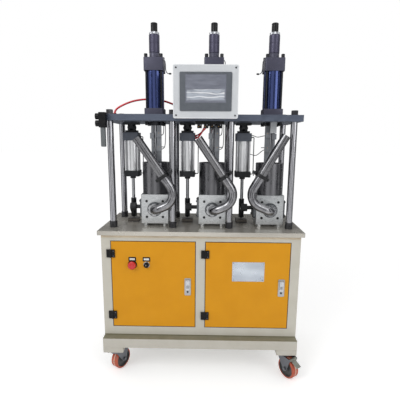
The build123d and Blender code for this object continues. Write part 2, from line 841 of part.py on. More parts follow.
# Dosing pistons: metering piston, rod with switch dog, air piston and upper rod in one line
piston_radius = barrel_radius - barrel_wall - moving_gap
air_piston_radius = air_tube_radius - air_tube_wall - moving_gap
piston_bottom_z = valve_top_z + piston_rest_height
piston_top_z = piston_bottom_z + piston_height
groove_bottom_z = piston_bottom_z + (piston_height - piston_groove_height) / 2
dog_bottom_z = piston_top_z + dog_rise
air_piston_bottom_z = tube_bottom_z + air_piston_lift
air_piston_top_z = air_piston_bottom_z + air_piston_height
sleeve_bottom_z = neck_top_z + moving_gap
ring_bottom_z = sleeve_bottom_z + sleeve_height
ring_top_z = ring_bottom_z + lock_ring_height
upper_rod_top_z = ring_top_z + knob_height / 2
for i, x in enumerate(unit_centers, 1):
    with BuildPart() as dosing_piston:
        with BuildSketch(Plane(origin=(x, unit_y, 0), x_dir=(1, 0, 0), z_dir=(0, -1, 0))):
            with BuildLine():
                Polyline(
                    (0, piston_bottom_z),
                    (piston_radius, piston_bottom_z),
                    (piston_radius, groove_bottom_z),
                    (piston_radius - piston_groove_depth, groove_bottom_z),
                    (piston_radius - piston_groove_depth, groove_bottom_z + piston_groove_height),
                    (piston_radius, groove_bottom_z + piston_groove_height),
                    (piston_radius, piston_top_z),
                    (rod_radius, piston_top_z),
                    (rod_radius, dog_bottom_z),
                    (dog_radius, dog_bottom_z),
                    (dog_radius, dog_bottom_z + dog_height),
                    (rod_radius, dog_bottom_z + dog_height),
                    (rod_radius, air_piston_bottom_z),
                    (air_piston_radius, air_piston_bottom_z),
                    (air_piston_radius, air_piston_top_z),
                    (upper_rod_radius, air_piston_top_z),
                    (upper_rod_radius, upper_rod_top_z),
                    (0, upper_rod_top_z),
                    close=True,
                )
            make_face()
        revolve(axis=Axis((x, unit_y, 0), (0, 0, 1)))
    save(dosing_piston, f"dosing_piston_{i}")

# Stroke adjusters: sleeve, lock ring and knob, screwed on the upper rod and stopped by the neck
for i, x in enumerate(unit_centers, 1):
    with BuildPart() as stroke_adjuster:
        with BuildSketch(Plane.XY.offset(sleeve_bottom_z)):
            with Locations((x, unit_y)):
                Circle(sleeve_radius)
        extrude(amount=sleeve_height)
        with BuildSketch(Plane.XY.offset(sleeve_bottom_z + sleeve_height / 2)):
            with Locations((x, unit_y)):
                Circle(sleeve_radius)
                Circle(sleeve_radius - sleeve_groove_depth, mode=Mode.SUBTRACT)
        extrude(amount=sleeve_groove_height, mode=Mode.SUBTRACT)
        with BuildSketch(Plane.XY.offset(ring_bottom_z)):
            with Locations((x, unit_y)):
                Circle(lock_ring_radius)
        extrude(amount=lock_ring_height)
        with BuildSketch(Plane.XY.offset(ring_top_z)):
            with Locations((x, unit_y)):
                Circle(knob_radius)
        extrude(amount=knob_height)
        chamfer(stroke_adjuster.faces().sort_by(Axis.Z)[-1].edges(), plate_edge_chamfer)
        with BuildSketch(Plane.XY.offset(sleeve_bottom_z)):
            with Locations((x, unit_y)):
                Circle(upper_rod_radius + running_gap)
        extrude(amount=upper_rod_top_z - sleeve_bottom_z + moving_gap, mode=Mode.SUBTRACT)
    save(stroke_adjuster, f"stroke_adjuster_{i}")

# Valve rotors: ported plug, shaft through the left cover and the slotted lever on its end
lever_pin_shift = 0.0575 * lever_offset
lever_pin_rest_z = valve_axis_z - lever_offset + lever_pin_shift
slot_reach_low = lever_offset - lever_pin_radius - lever_slot_gap
slot_reach_high = lever_offset * sqrt(2) + lever_pin_radius + lever_slot_gap
slot_width = 2 * (lever_pin_radius + lever_slot_gap)
for i, x in enumerate(unit_centers, 1):
    lever_x = x - actuator_offset_x
    plug_start = x - valve_width / 2 + moving_gap
    hub_start = lever_x - lever_thickness / 2
    with BuildPart() as valve_rotor:
        with BuildSketch(side_plane(plug_start, unit_y, valve_axis_z)):
            Circle(rotor_radius)
        extrude(amount=valve_width - 2 * moving_gap)
        with BuildSketch(Plane.XY.offset(valve_axis_z)):
            with Locations((x, unit_y)):
                Circle(port_radius)
        extrude(amount=rotor_radius, mode=Mode.SUBTRACT)
        with BuildSketch(front_plane(x, unit_y, valve_axis_z)):
            Circle(port_radius)
        extrude(amount=-rotor_radius, mode=Mode.SUBTRACT)
        with BuildSketch(side_plane(hub_start, unit_y, valve_axis_z)):
            Circle(rotor_shaft_radius)
        extrude(amount=plug_start - hub_start)
        with BuildSketch(side_plane(hub_start, unit_y, valve_axis_z)):
            with Locations((lever_end_reach * cos(pi / 4), -lever_end_reach * sin(pi / 4))):
                Circle(lever_end_radius)
            Circle(lever_hub_radius)
            make_hull()
            slot_middle = (slot_reach_low + slot_reach_high) / 2
            with Locations((slot_middle * cos(pi / 4), -slot_middle * sin(pi / 4))):
                SlotOverall(slot_reach_high - slot_reach_low, slot_width, rotation=-45, mode=Mode.SUBTRACT)
        extrude(amount=lever_thickness)
        with BuildSketch(side_plane(hub_start, unit_y, valve_axis_z)):
            Circle(lever_hub_radius)
        extrude(amount=lever_hub_length)
    save(valve_rotor, f"valve_rotor_{i}")

# Actuator cylinders: bright barrels with tie rods
actuator_top_z = plate_bottom_z - mount_flange_height - mount_ear_radius - mount_seat_height - mount_ear_radius
actuator_points = [(x - actuator_offset_x, actuator_y) for x in unit_centers]
actuator_barrel_top_z = actuator_top_z - actuator_upper_cap_height
actuator_barrel_bottom_z = actuator_barrel_top_z - actuator_length
actuator_bottom_z = actuator_barrel_bottom_z - actuator_lower_cap_height
with BuildPart() as actuator_barrels:
    with BuildSketch(Plane.XY.offset(actuator_barrel_bottom_z)):
        with Locations(*actuator_points):
            Circle(actuator_radius)
            Circle(actuator_radius - actuator_wall, mode=Mode.SUBTRACT)
            with GridLocations(actuator_tie_spacing, actuator_tie_spacing, 2, 2):
                Circle(actuator_tie_radius)
    extrude(amount=actuator_length)
save(actuator_barrels, "actuator_barrels")

# Actuator caps with the rod gland and the speed-control fittings
with BuildPart() as actuator_caps:
    with BuildSketch(Plane.XY.offset(actuator_bottom_z)):
        with Locations(*actuator_points):
            RectangleRounded(actuator_cap_size, actuator_cap_size, actuator_cap_corner)
    extrude(amount=actuator_lower_cap_height)
    with BuildSketch(Plane.XY.offset(actuator_bottom_z - gland_height)):
        with Locations(*actuator_points):
            Circle(gland_radius)
    extrude(amount=gland_height)
    with BuildSketch(Plane.XY.offset(actuator_bottom_z - gland_height)):
        with Locations(*actuator_points):
            Circle(actuator_rod_radius + actuator_rod_clearance)
    extrude(amount=gland_height + actuator_lower_cap_height, mode=Mode.SUBTRACT)
    with BuildSketch(Plane.XY.offset(actuator_barrel_top_z)):
        with Locations(*actuator_points):
            RectangleRounded(actuator_cap_size, actuator_cap_size, actuator_cap_corner)
    extrude(amount=actuator_upper_cap_height)
    fitting_heights = (
        actuator_bottom_z + actuator_lower_cap_height / 2,
        actuator_barrel_top_z + actuator_upper_cap_height / 2,
    )
    for x, y in actuator_points:
        for fitting_z in fitting_heights:
            with BuildSketch(side_plane(x + actuator_cap_size / 2, y, fitting_z)):
                Circle(fitting_radius)
            extrude(amount=fitting_length)
save(actuator_caps, "actuator_caps")

# Actuator mounts: flange and lug under the plate, ears and pin on the cap, stop block on the table
mount_pin_z = actuator_top_z + mount_seat_height + mount_ear_radius
with BuildPart() as actuator_mounts:
    with BuildSketch(Plane.XY.offset(plate_bottom_z - mount_flange_height)):
        with Locations(*actuator_points):
            Rectangle(mount_flange_width, mount_flange_depth)
    extrude(amount=mount_flange_height)
    with BuildSketch(Plane.XY.offset(actuator_top_z)):
        with Locations(*actuator_points):
            Rectangle(actuator_cap_size * 0.8, 2 * mount_ear_radius)
    extrude(amount=mount_seat_height - moving_gap)
    for x, y in actuator_points:
        with BuildSketch(side_plane(x - mount_lug_width / 2, y, mount_pin_z)):
            Circle(mount_ear_radius)
            with Locations((0, mount_ear_radius / 2)):
                Rectangle(2 * mount_ear_radius, mount_ear_radius)
            Circle(mount_pin_radius + running_gap, mode=Mode.SUBTRACT)
        extrude(amount=mount_lug_width)
        for ear_x in (x - mount_lug_width / 2 - mount_ear_width - moving_gap, x + mount_lug_width / 2 + moving_gap):
            with BuildSketch(side_plane(ear_x, y, mount_pin_z)):
                Circle(mount_ear_radius)
                with Locations((0, -mount_ear_radius / 2 - moving_gap)):
                    Rectangle(2 * mount_ear_radius, mount_ear_radius + 2 * moving_gap)
            extrude(amount=mount_ear_width)
        pin_length = mount_lug_width + 2 * (mount_ear_width + moving_gap + mount_pin_overhang)
        with BuildSketch(side_plane(x - pin_length / 2, y, mount_pin_z)):
            Circle(mount_pin_radius)
        extrude(amount=pin_length)
    with BuildSketch(Plane.XY.offset(table_top_z)):
        with Locations(*actuator_points):
            Rectangle(stop_block_width, stop_block_depth)
    extrude(amount=stop_block_height)
save(actuator_mounts, "actuator_mounts")

# Actuator rods: piston, rod, coupling and the clevis whose pin runs in the lever's slot
clevis_inner = lever_thickness + 2 * clevis_gap
clevis_outer = clevis_inner + 2 * clevis_arm
for i, (x, y) in enumerate(actuator_points, 1):
    with BuildPart() as actuator_rod:
        with BuildSketch(Plane.XY.offset(lever_pin_rest_z - clevis_tail)):
            with Locations((x, y)):
                Rectangle(clevis_outer, clevis_depth)
        extrude(amount=clevis_tail + clevis_top)
        with BuildSketch(Plane.XY.offset(lever_pin_rest_z - clevis_tail)):
            with Locations((x, y)):
                Rectangle(clevis_inner, clevis_depth)
        extrude(amount=clevis_tail + clevis_crotch, mode=Mode.SUBTRACT)
        with BuildSketch(side_plane(x - clevis_outer / 2, y, lever_pin_rest_z)):
            Circle(lever_pin_radius)
        extrude(amount=clevis_outer)
        with BuildSketch(Plane.XY.offset(lever_pin_rest_z + clevis_top)):
            with Locations((x, y)):
                Circle(coupling_radius)
        extrude(amount=coupling_top - clevis_top)
        piston_z = actuator_barrel_bottom_z + actuator_rest_gap
        with BuildSketch(Plane.XY.offset(lever_pin_rest_z + coupling_top)):
            with Locations((x, y)):
                Circle(actuator_rod_radius)
        extrude(amount=piston_z - lever_pin_rest_z - coupling_top)
        with BuildSketch(Plane.XY.offset(piston_z)):
            with Locations((x, y)):
                Circle(actuator_radius - actuator_wall - moving_gap)
        extrude(amount=actuator_piston_height)
    save(actuator_rod, f"actuator_rod_{i}")

# Sensor rails under the noses, in front of the dosing rods: a wide one with two sensors, a narrow one with one
sensor_rail_y = unit_y - dog_radius - sensor_rail_gap - sensor_rail_thickness / 2
sensor_rail_top_z = plate_bottom_z - nose_length
sensor_y = sensor_rail_y - sensor_rail_thickness / 2 - sensor_depth / 2
sensor_heights = [plate_bottom_z - sensor_drop - step * sensor_pitch for step in range(2)]
with BuildPart() as sensor_rails:
    for x, hand in zip(unit_centers, unit_hands):
        rail_x = x + hand * sensor_rail_shift
        guide_x = x - hand * guide_rail_shift
        with BuildSketch(Plane.XY.offset(sensor_rail_top_z - sensor_rail_length)):
            with Locations((rail_x, sensor_rail_y)):
                Rectangle(sensor_rail_width, sensor_rail_thickness)
            with Locations((guide_x, sensor_rail_y)):
                Rectangle(guide_rail_width, sensor_rail_thickness)
        extrude(amount=sensor_rail_length)
        for sensor_z in sensor_heights:
            with BuildSketch(Plane.XY.offset(sensor_z - sensor_height / 2)):
                with Locations((rail_x, sensor_y)):
                    Rectangle(sensor_rail_width, sensor_depth)
            extrude(amount=sensor_height)
        with BuildSketch(Plane.XY.offset(sensor_heights[0] - 3 * sensor_height / 4)):
            with Locations((guide_x, sensor_y)):
                Rectangle(guide_sensor_width, sensor_depth)
        extrude(amount=sensor_height)
        with BuildSketch(side_plane(rail_x, sensor_rail_y, sensor_heights[1] + sensor_height / 4)):
            Circle(sensor_pin_radius)
        extrude(amount=hand * (sensor_rail_width / 2 + sensor_pin_length))
    box_center_y = unit_y - nose_ring_radius - plate_nut_radius - junction_box_depth / 2
    with BuildSketch(Plane.XY.offset(plate_bottom_z - junction_box_height)):
        with Locations((unit_centers[-1] + junction_box_shift, box_center_y)):
            Rectangle(junction_box_width, junction_box_depth)
    extrude(amount=junction_box_height)
save(sensor_rails, "sensor_rails")

# Thin leads: sensor cables, the leads of the upper caps and the air loops beside the actuators
lead_routes = []
for x, hand in zip(unit_centers, unit_hands):
    sensor_side_x = x + hand * (sensor_rail_shift + sensor_rail_width / 2)
    stub_x = sensor_side_x + hand * cable_stub
    for step, sensor_z in enumerate(sensor_heights):
        exit_z = sensor_z - sensor_height / 8
        cable_points = [(sensor_side_x, sensor_y, exit_z), (stub_x, sensor_y, exit_z)]
        if hand > 0:
            rise_x = stub_x + (step + 0.5) * cable_stub
            cable_points += [
                (rise_x, sensor_y + 0.5 * cable_stub, exit_z + 2 * cable_stub),
                (rise_x, sensor_y + cable_stub, plate_bottom_z - 2 * cable_stub),
                (rise_x, sensor_y + cable_stub, plate_bottom_z),
            ]
        else:
            cap_x = x - actuator_offset_x + (actuator_cap_size / 2 if step == 0 else actuator_radius)
            cap_y = actuator_y - (actuator_cap_size / 4 if step == 0 else cable_stub)
            cap_z = actuator_top_z - actuator_upper_cap_height / 4 if step == 0 else exit_z - 3 * cable_stub
            cable_points += [
                ((stub_x + cap_x) / 2, (sensor_y + cap_y) / 2, min(exit_z, cap_z) - cable_stub),
                (cap_x + cable_stub, cap_y, cap_z),
                (cap_x, cap_y, cap_z),
            ]
        lead_routes.append((cable_points, sensor_cable_radius))
    cap_side_x = x + hand * cap_size / 2
    lead_y = unit_y - cap_lead_setback
    lead_z = cap_top_z - cable_stub
    cap_lead = [
        (cap_side_x, lead_y, lead_z),
        (cap_side_x + hand * cable_stub, lead_y, lead_z),
        (cap_side_x + hand * cable_stub, lead_y, lead_z - cap_lead_drop),
        (cap_side_x + hand * 3 * cable_stub, lead_y, lead_z - cap_lead_drop),
    ]
    lead_routes.append((cap_lead, sensor_cable_radius))
for x, y in actuator_points:
    fitting_x = x + actuator_cap_size / 2 + fitting_length
    loop = [(fitting_x, y, fitting_heights[1]), (fitting_x + loop_bulge, y, fitting_heights[1])]
    loop += [(fitting_x + loop_bulge, y, fitting_heights[0]), (fitting_x, y, fitting_heights[0])]
    lead_routes.append((loop, loop_tube_radius))
lead_parts = []
for route, radius in lead_routes:
    with BuildPart() as lead:
        with BuildLine() as lead_path:
            FilletPolyline(*route, radius=tube_radii(route))
        with BuildSketch(Plane(origin=lead_path.line @ 0, z_dir=lead_path.line % 0)):
            Circle(radius)
        sweep(path=lead_path.line)
    lead_parts.append(lead.part)
    lead_ideal = pi * radius**2 * lead_path.wires()[0].length
    print("lead radii", [round(r) for r in tube_radii(route)], "length", round(lead_path.wires()[0].length))
    print("lead volume share", round(lead.part.volume / lead_ideal, 4))
with BuildPart() as sensor_cables:
    add(lead_parts)
    for x, hand in zip(unit_centers, unit_hands):
        plug_x = x + hand * (cap_size / 2 + 3 * cable_stub)
        with BuildSketch(side_plane(plug_x, unit_y - cap_lead_setback, cap_top_z - cable_stub - cap_lead_drop)):
            Circle(plug_radius)
        extrude(amount=hand * plug_length)
save(sensor_cables, "sensor_cables")

# Operator panel housing: front tray, rear box and two feet on the plate
hmi_center_z = hmi_bottom_z + hmi_height / 2
hmi_front_y = plate_front_y - hmi_depth
hmi_back_bottom_z = plate_top_z + hmi_foot_thickness
hmi_back_center_z = hmi_back_bottom_z + hmi_back_height / 2
with BuildPart() as hmi_housing:
    with BuildSketch(front_plane(hmi_center_x, plate_front_y, hmi_center_z)):
        RectangleRounded(hmi_width, hmi_height, hmi_corner_radius)
    extrude(amount=hmi_depth)
    with BuildSketch(front_plane(hmi_center_x, plate_front_y, hmi_center_z)):
        Rectangle(hmi_width - 2 * hmi_wall, hmi_height - 2 * hmi_wall)
    extrude(amount=hmi_depth - hmi_wall, mode=Mode.SUBTRACT)
    with BuildSketch(front_plane(hmi_center_x, hmi_front_y, hmi_center_z)):
        Rectangle(screen_width, screen_height)
    extrude(amount=-hmi_wall, mode=Mode.SUBTRACT)
    with BuildSketch(front_plane(hmi_center_x, hmi_front_y, hmi_center_z)):
        with GridLocations(hmi_width - 2 * hmi_screw_inset, hmi_height - 2 * hmi_screw_inset, 2, 2):
            Circle(hmi_screw_radius)
    extrude(amount=hmi_screw_height)
    with BuildSketch(front_plane(hmi_center_x, plate_front_y + hmi_back_depth, hmi_back_center_z)):
        Rectangle(hmi_back_width, hmi_back_height)
    extrude(amount=hmi_back_depth)
    with BuildSketch(front_plane(hmi_center_x, plate_front_y + hmi_back_depth - hmi_wall, hmi_back_center_z)):
        Rectangle(hmi_back_width - 2 * hmi_wall, hmi_back_height - 2 * hmi_wall)
    extrude(amount=hmi_back_depth - hmi_wall, mode=Mode.SUBTRACT)
    with BuildSketch(front_plane(hmi_center_x, plate_front_y, hmi_center_z)):
        Rectangle(hmi_width - hmi_wall, hmi_height - hmi_wall)
        with Locations((0, hmi_back_center_z - hmi_center_z)):
            Rectangle(hmi_back_width - 2 * hmi_wall, hmi_back_height - 2 * hmi_wall, mode=Mode.SUBTRACT)
    extrude(amount=hmi_wall)
    foot_y = plate_front_y + hmi_back_depth / 2
    with BuildSketch(Plane.XY.offset(plate_top_z)):
        with Locations((hmi_center_x, foot_y)):
            with GridLocations(hmi_back_width - hmi_foot_length, 0, 2, 1):
                Rectangle(hmi_foot_length, hmi_back_depth - hmi_foot_length)
    extrude(amount=hmi_foot_thickness)
save(hmi_housing, "hmi_housing")

# Bezel of the panel and its screen
with BuildPart() as hmi_bezel:
    with BuildSketch(front_plane(hmi_center_x, hmi_front_y, hmi_center_z)):
        RectangleRounded(bezel_width, bezel_height, bezel_corner_radius)
        with Locations((0, screen_shift)):
            Rectangle(screen_width - 2 * bezel_recess, screen_height - 2 * bezel_recess, mode=Mode.SUBTRACT)
    extrude(amount=bezel_proud)
    chamfer(hmi_bezel.faces().sort_by(Axis.Y)[0].outer_wire().edges(), bezel_recess)
save(hmi_bezel, "hmi_bezel")

with BuildPart() as hmi_screen:
    with BuildSketch(front_plane(hmi_center_x, hmi_front_y, hmi_center_z)):
        with Locations((0, screen_shift)):
            Rectangle(screen_width - 2 * bezel_recess - moving_gap, screen_height - 2 * bezel_recess - moving_gap)
    extrude(amount=bezel_proud - screen_thickness)
save(hmi_screen, "hmi_screen")

# Frame halves of the four door hinges: leaf, outer knuckles and pin
hinge_axis_y = cabinet_front_y - hinge_axis_standoff
hinge_heights = (door_open_bottom_z + hinge_inset - door_gap, door_open_top_z - hinge_inset + door_gap)
knuckle_height = hinge_height / 3
hinge_spots = [
    (door_left_edges[side] - door_gap / 2, height) for side in ("left", "right") for height in hinge_heights
]
with BuildPart() as hinge_frame_leaves:
    for axis_x, height in hinge_spots:
        with BuildSketch(Plane.XY.offset(height - hinge_height / 2)):
            with Locations((axis_x - door_gap / 2 - hinge_leaf_width / 2, cabinet_front_y - hinge_leaf_thickness / 2)):
                Rectangle(hinge_leaf_width, hinge_leaf_thickness)
        extrude(amount=hinge_height)
        for bottom in (height - hinge_height / 2, height + knuckle_height / 2 + moving_gap):
            with BuildSketch(Plane.XY.offset(bottom)):
                with Locations((axis_x, hinge_axis_y)):
                    Circle(hinge_knuckle_radius)
            extrude(amount=knuckle_height - moving_gap)
        with BuildSketch(Plane.XY.offset(height - hinge_height / 2)):
            with Locations((axis_x, hinge_axis_y)):
                Circle(hinge_pin_radius)
        extrude(amount=hinge_height)
        with BuildSketch(Plane.XY.offset(height - knuckle_height / 2 - moving_gap)):
            with Locations((axis_x, hinge_axis_y)):
                Circle(hinge_knuckle_radius + moving_gap)
                Circle(hinge_pin_radius, mode=Mode.SUBTRACT)
        extrude(amount=knuckle_height + 2 * moving_gap, mode=Mode.SUBTRACT)
save(hinge_frame_leaves, "hinge_frame_leaves")

# Doors: folded pans with a flush front
door_center_xs = {"left": -door_open_center_x, "right": door_open_center_x}
control_z = door_open_top_z - control_drop
latch_z = door_center_z - latch_drop
latch_barrel_radius = 2 * latch_pin_radius
latch_lug_depth = latch_barrel_radius + moving_gap
latch_lug_span = latch_plate_width / 1.2
latch_axis_y = cabinet_front_y - latch_plate_thickness - latch_lug_depth
latch_pivot_z = latch_z + latch_handle_height / 2 + latch_plate_height / 10
switch_xs = (door_left_edges["left"] + e_stop_inset, door_left_edges["left"] + selector_inset)
for side, center_x in door_center_xs.items():
    with BuildPart() as door:
        with BuildSketch(front_plane(center_x, cabinet_front_y + door_thickness, door_center_z)):
            Rectangle(door_width, door_height)
        extrude(amount=door_thickness)
        with BuildSketch(front_plane(center_x, cabinet_front_y + door_thickness, door_center_z)):
            Rectangle(door_width - 2 * sheet_thickness, door_height - 2 * sheet_thickness)
        extrude(amount=door_thickness - sheet_thickness, mode=Mode.SUBTRACT)
        if side == "left":
            for switch_x in switch_xs:
                with BuildSketch(front_plane(switch_x, cabinet_front_y, control_z)):
                    Circle(switch_bore_radius)
                extrude(amount=-sheet_thickness, mode=Mode.SUBTRACT)
    save(door, f"door_{side}")

# Hardware fixed to each door: hinge leaves, latch plate, and the legend plates or the bare nameplate
for side, center_x in door_center_xs.items():
    edge_x = door_left_edges[side]
    latch_x = edge_x + door_width - latch_edge_distance
    with BuildPart() as door_hardware:
        for height in hinge_heights:
            axis_x = edge_x - door_gap / 2
            with BuildSketch(Plane.XY.offset(height - hinge_height / 2)):
                with Locations((edge_x + hinge_leaf_width / 2, cabinet_front_y - hinge_leaf_thickness / 2)):
                    Rectangle(hinge_leaf_width, hinge_leaf_thickness)
            extrude(amount=hinge_height)
            for bottom in (height - hinge_height / 2, height + knuckle_height / 2):
                with BuildSketch(Plane.XY.offset(bottom)):
                    with Locations((axis_x, hinge_axis_y)):
                        Circle(hinge_knuckle_radius + moving_gap)
                extrude(amount=knuckle_height, mode=Mode.SUBTRACT)
            with BuildSketch(Plane.XY.offset(height - knuckle_height / 2)):
                with Locations((axis_x, hinge_axis_y)):
                    Circle(hinge_knuckle_radius)
                    Circle(hinge_pin_radius + running_gap, mode=Mode.SUBTRACT)
            extrude(amount=knuckle_height)
            with BuildSketch(Plane.XY.offset(height - knuckle_height / 2)):
                with Locations((axis_x, hinge_axis_y)):
                    Circle(hinge_pin_radius + running_gap)
            extrude(amount=knuckle_height, mode=Mode.SUBTRACT)
        with BuildSketch(front_plane(latch_x, cabinet_front_y, latch_z)):
            RectangleRounded(latch_plate_width, latch_plate_height, latch_plate_width / 6)
        extrude(amount=latch_plate_thickness)
        with BuildSketch(side_plane(latch_x - latch_lug_span / 2, latch_axis_y, latch_pivot_z)):
            Circle(latch_barrel_radius)
            with Locations((latch_lug_depth / 2, 0)):
                Rectangle(latch_lug_depth, 2 * latch_barrel_radius)
        extrude(amount=latch_lug_span)
        with BuildSketch(side_plane(latch_x - latch_handle_width / 2 - moving_gap, latch_axis_y, latch_pivot_z)):
            with Locations((moving_gap / 2, 0)):
                Rectangle(2 * latch_barrel_radius + moving_gap, 2 * latch_barrel_radius)
            Circle(latch_pin_radius, mode=Mode.SUBTRACT)
        extrude(amount=latch_handle_width + 2 * moving_gap, mode=Mode.SUBTRACT)
        button_z = latch_z - latch_plate_height / 2 + 3 * latch_button_radius
        with BuildSketch(front_plane(latch_x, cabinet_front_y - latch_plate_thickness, button_z)):
            Circle(latch_button_radius)
        extrude(amount=latch_button_height)
        if side == "left":
            for switch_x in switch_xs:
                with BuildSketch(front_plane(switch_x, cabinet_front_y, control_z)):
                    Circle(switch_collar_radius)
                    Circle(switch_bore_radius, mode=Mode.SUBTRACT)
                extrude(amount=switch_collar_height)
                with BuildSketch(front_plane(switch_x, cabinet_front_y, control_z + legend_rise)):
                    Rectangle(legend_width, legend_height)
                extrude(amount=legend_thickness)
        else:
            plate_x = edge_x + nameplate_inset + nameplate_width / 2
            plate_z = door_open_top_z - nameplate_drop - nameplate_height / 2
            with BuildSketch(front_plane(plate_x, cabinet_front_y, plate_z)):
                Rectangle(nameplate_width, nameplate_height)
            extrude(amount=nameplate_thickness)
            with BuildSketch(front_plane(plate_x, cabinet_front_y - nameplate_thickness, plate_z)):
                with GridLocations(
                    nameplate_width - 4 * nameplate_rivet_radius,
                    nameplate_height - 4 * nameplate_rivet_radius,
                    2,
                    2,
                ):
                    Circle(nameplate_rivet_radius)
            extrude(amount=nameplate_rivet_height)
    save(door_hardware, f"door_hardware_{side}")

# Latch handles: flat paddles that swing out about a pin at the top
for side in door_center_xs:
    latch_x = door_left_edges[side] + door_width - latch_edge_distance
    with BuildPart() as latch_handle:
        with BuildSketch(side_plane(latch_x - latch_handle_width / 2, latch_axis_y, latch_pivot_z)):
            Circle(latch_barrel_radius)
            with Locations((0, -latch_handle_height / 2)):
                Rectangle(latch_handle_thickness, latch_handle_height)
            Circle(latch_pin_radius + running_gap, mode=Mode.SUBTRACT)
        extrude(amount=latch_handle_width)
        fillet(latch_handle.edges().filter_by(Axis.Y).group_by(Axis.Z)[0], latch_handle_width / 4)
    save(latch_handle, f"latch_handle_{side}")

# Emergency stop: mushroom head on a neck that slides in its collar
stop_x, selector_x = switch_xs
collar_face_y = cabinet_front_y - switch_collar_height
head_back_y = collar_face_y - e_stop_travel - moving_gap
with BuildPart() as e_stop_button:
    with BuildSketch(front_plane(stop_x, cabinet_front_y + e_stop_travel, control_z)):
        Circle(e_stop_neck_radius)
    extrude(amount=cabinet_front_y + e_stop_travel - head_back_y)
    with BuildSketch(front_plane(stop_x, head_back_y, control_z)):
        Circle(e_stop_radius)
    extrude(amount=e_stop_thickness)
    fillet(e_stop_button.faces().sort_by(Axis.Y)[0].edges(), e_stop_thickness / 2.2)
save(e_stop_button, "e_stop_button")

# Selector: shank in the collar, round head and a raised grip bar
with BuildPart() as selector_knob:
    with BuildSketch(front_plane(selector_x, cabinet_front_y, control_z)):
        Circle(selector_radius)
    extrude(amount=switch_collar_height + moving_gap)
    with BuildSketch(front_plane(selector_x, collar_face_y - moving_gap, control_z)):
        Circle(selector_head_radius)
    extrude(amount=selector_height)
    with BuildSketch(front_plane(selector_x, collar_face_y - moving_gap - selector_height, control_z)):
        Rectangle(selector_grip_width, 2 * selector_head_radius - selector_grip_width)
    extrude(amount=selector_grip_height)
save(selector_knob, "selector_knob")

# Filter regulator hung in front of the plate's left end: bracket, body, two gauges and the bowl
regulator_y = plate_front_y - regulator_stand_off - regulator_size / 2
regulator_top_z = plate_top_z + moving_gap
regulator_bottom_z = plate_bottom_z - regulator_drop
with BuildPart() as air_regulator:
    with BuildSketch(Plane.XY.offset(regulator_bottom_z)):
        with Locations((regulator_x, regulator_y)):
            RectangleRounded(regulator_size, regulator_size, regulator_corner_radius)
    extrude(amount=regulator_height)
    with BuildSketch(front_plane(regulator_x, plate_front_y, (plate_bottom_z + plate_top_z) / 2)):
        Rectangle(regulator_size * 0.7, plate_thickness * 0.8)
    extrude(amount=regulator_stand_off)
    gauge_x = regulator_x - regulator_size / 2 - gauge_length
    with BuildSketch(side_plane(gauge_x, regulator_y, regulator_bottom_z + regulator_height / 2)):
        with GridLocations(0, gauge_spacing, 1, 2):
            Circle(gauge_radius)
    extrude(amount=gauge_length)
    with BuildSketch(Plane.XY.offset(regulator_bottom_z)):
        with Locations((regulator_x, regulator_y)):
            Circle(bowl_radius)
    extrude(amount=-bowl_length)
    fillet(air_regulator.faces().sort_by(Axis.Z)[0].edges(), bowl_radius / 3)
save(air_regulator, "air_regulator")

# Solenoid valves under the plate, the air manifold on it and the bulkhead fitting at its left end
with BuildPart() as solenoid_valves:
    with BuildSketch(Plane.XY.offset(plate_bottom_z - valve_bank_height)):
        with Locations((valve_bank_x, valve_bank_y)):
            Rectangle(valve_bank_width, valve_bank_depth)
    extrude(amount=valve_bank_height)
    with BuildSketch(Plane.XY.offset(plate_bottom_z - valve_bank_height - solenoid_height)):
        with Locations((valve_bank_x, valve_bank_y)):
            with GridLocations(solenoid_pitch, 0, solenoid_count, 1):
                Rectangle(solenoid_width, solenoid_depth)
    extrude(amount=solenoid_height)
    with BuildSketch(Plane.XY.offset(plate_top_z)):
        with Locations((manifold_x, manifold_y)):
            Rectangle(manifold_size, manifold_size)
    extrude(amount=manifold_height)
    with BuildSketch(Plane.XY.offset(plate_top_z)):
        with Locations((bulkhead_x, manifold_y)):
            Circle(bulkhead_radius)
    extrude(amount=bulkhead_height)
save(solenoid_valves, "solenoid_valves")

# Red air hose over the plate and two supply hoses to the middle actuator
hose_span = manifold_x - bulkhead_x
red_route = [(bulkhead_x, manifold_y, plate_top_z + bulkhead_height)]
red_route.append((bulkhead_x, manifold_y, plate_top_z + bulkhead_height + hose_stub))
for step in range(1, red_hose_steps):
    share = step / red_hose_steps
    arch = sin(pi * share)
    red_route.append(
        (
            bulkhead_x + share * hose_span,
            manifold_y + red_hose_bulge * arch,
            plate_top_z + red_hose_arch * arch**0.4,
        )
    )
red_route.append((manifold_x, manifold_y, plate_top_z + manifold_height + hose_stub))
red_route.append((manifold_x, manifold_y, plate_top_z + manifold_height))
middle_x, middle_y = actuator_points[1]
cap_face_x = middle_x + actuator_cap_size / 2
solenoid_back_y = valve_bank_y + solenoid_depth / 2
solenoid_z = plate_bottom_z - valve_bank_height - solenoid_height / 2
routes = [(red_route, red_hose_radius)]
hose_parts = []
for number in range(2):
    end_x = valve_bank_x - solenoid_pitch / 2 + (number - 0.5) * supply_hose_pitch
    start_y = middle_y - (2 - number) * actuator_cap_size / 8
    start_z = actuator_barrel_top_z + (1 + number) * actuator_upper_cap_height / 3
    supply_route = [
        (cap_face_x, start_y, start_z),
        (cap_face_x + hose_stub, start_y, start_z),
        (end_x, solenoid_back_y + hose_stub, solenoid_z),
        (end_x, solenoid_back_y, solenoid_z),
    ]
    routes.append((supply_route, supply_hose_radius))
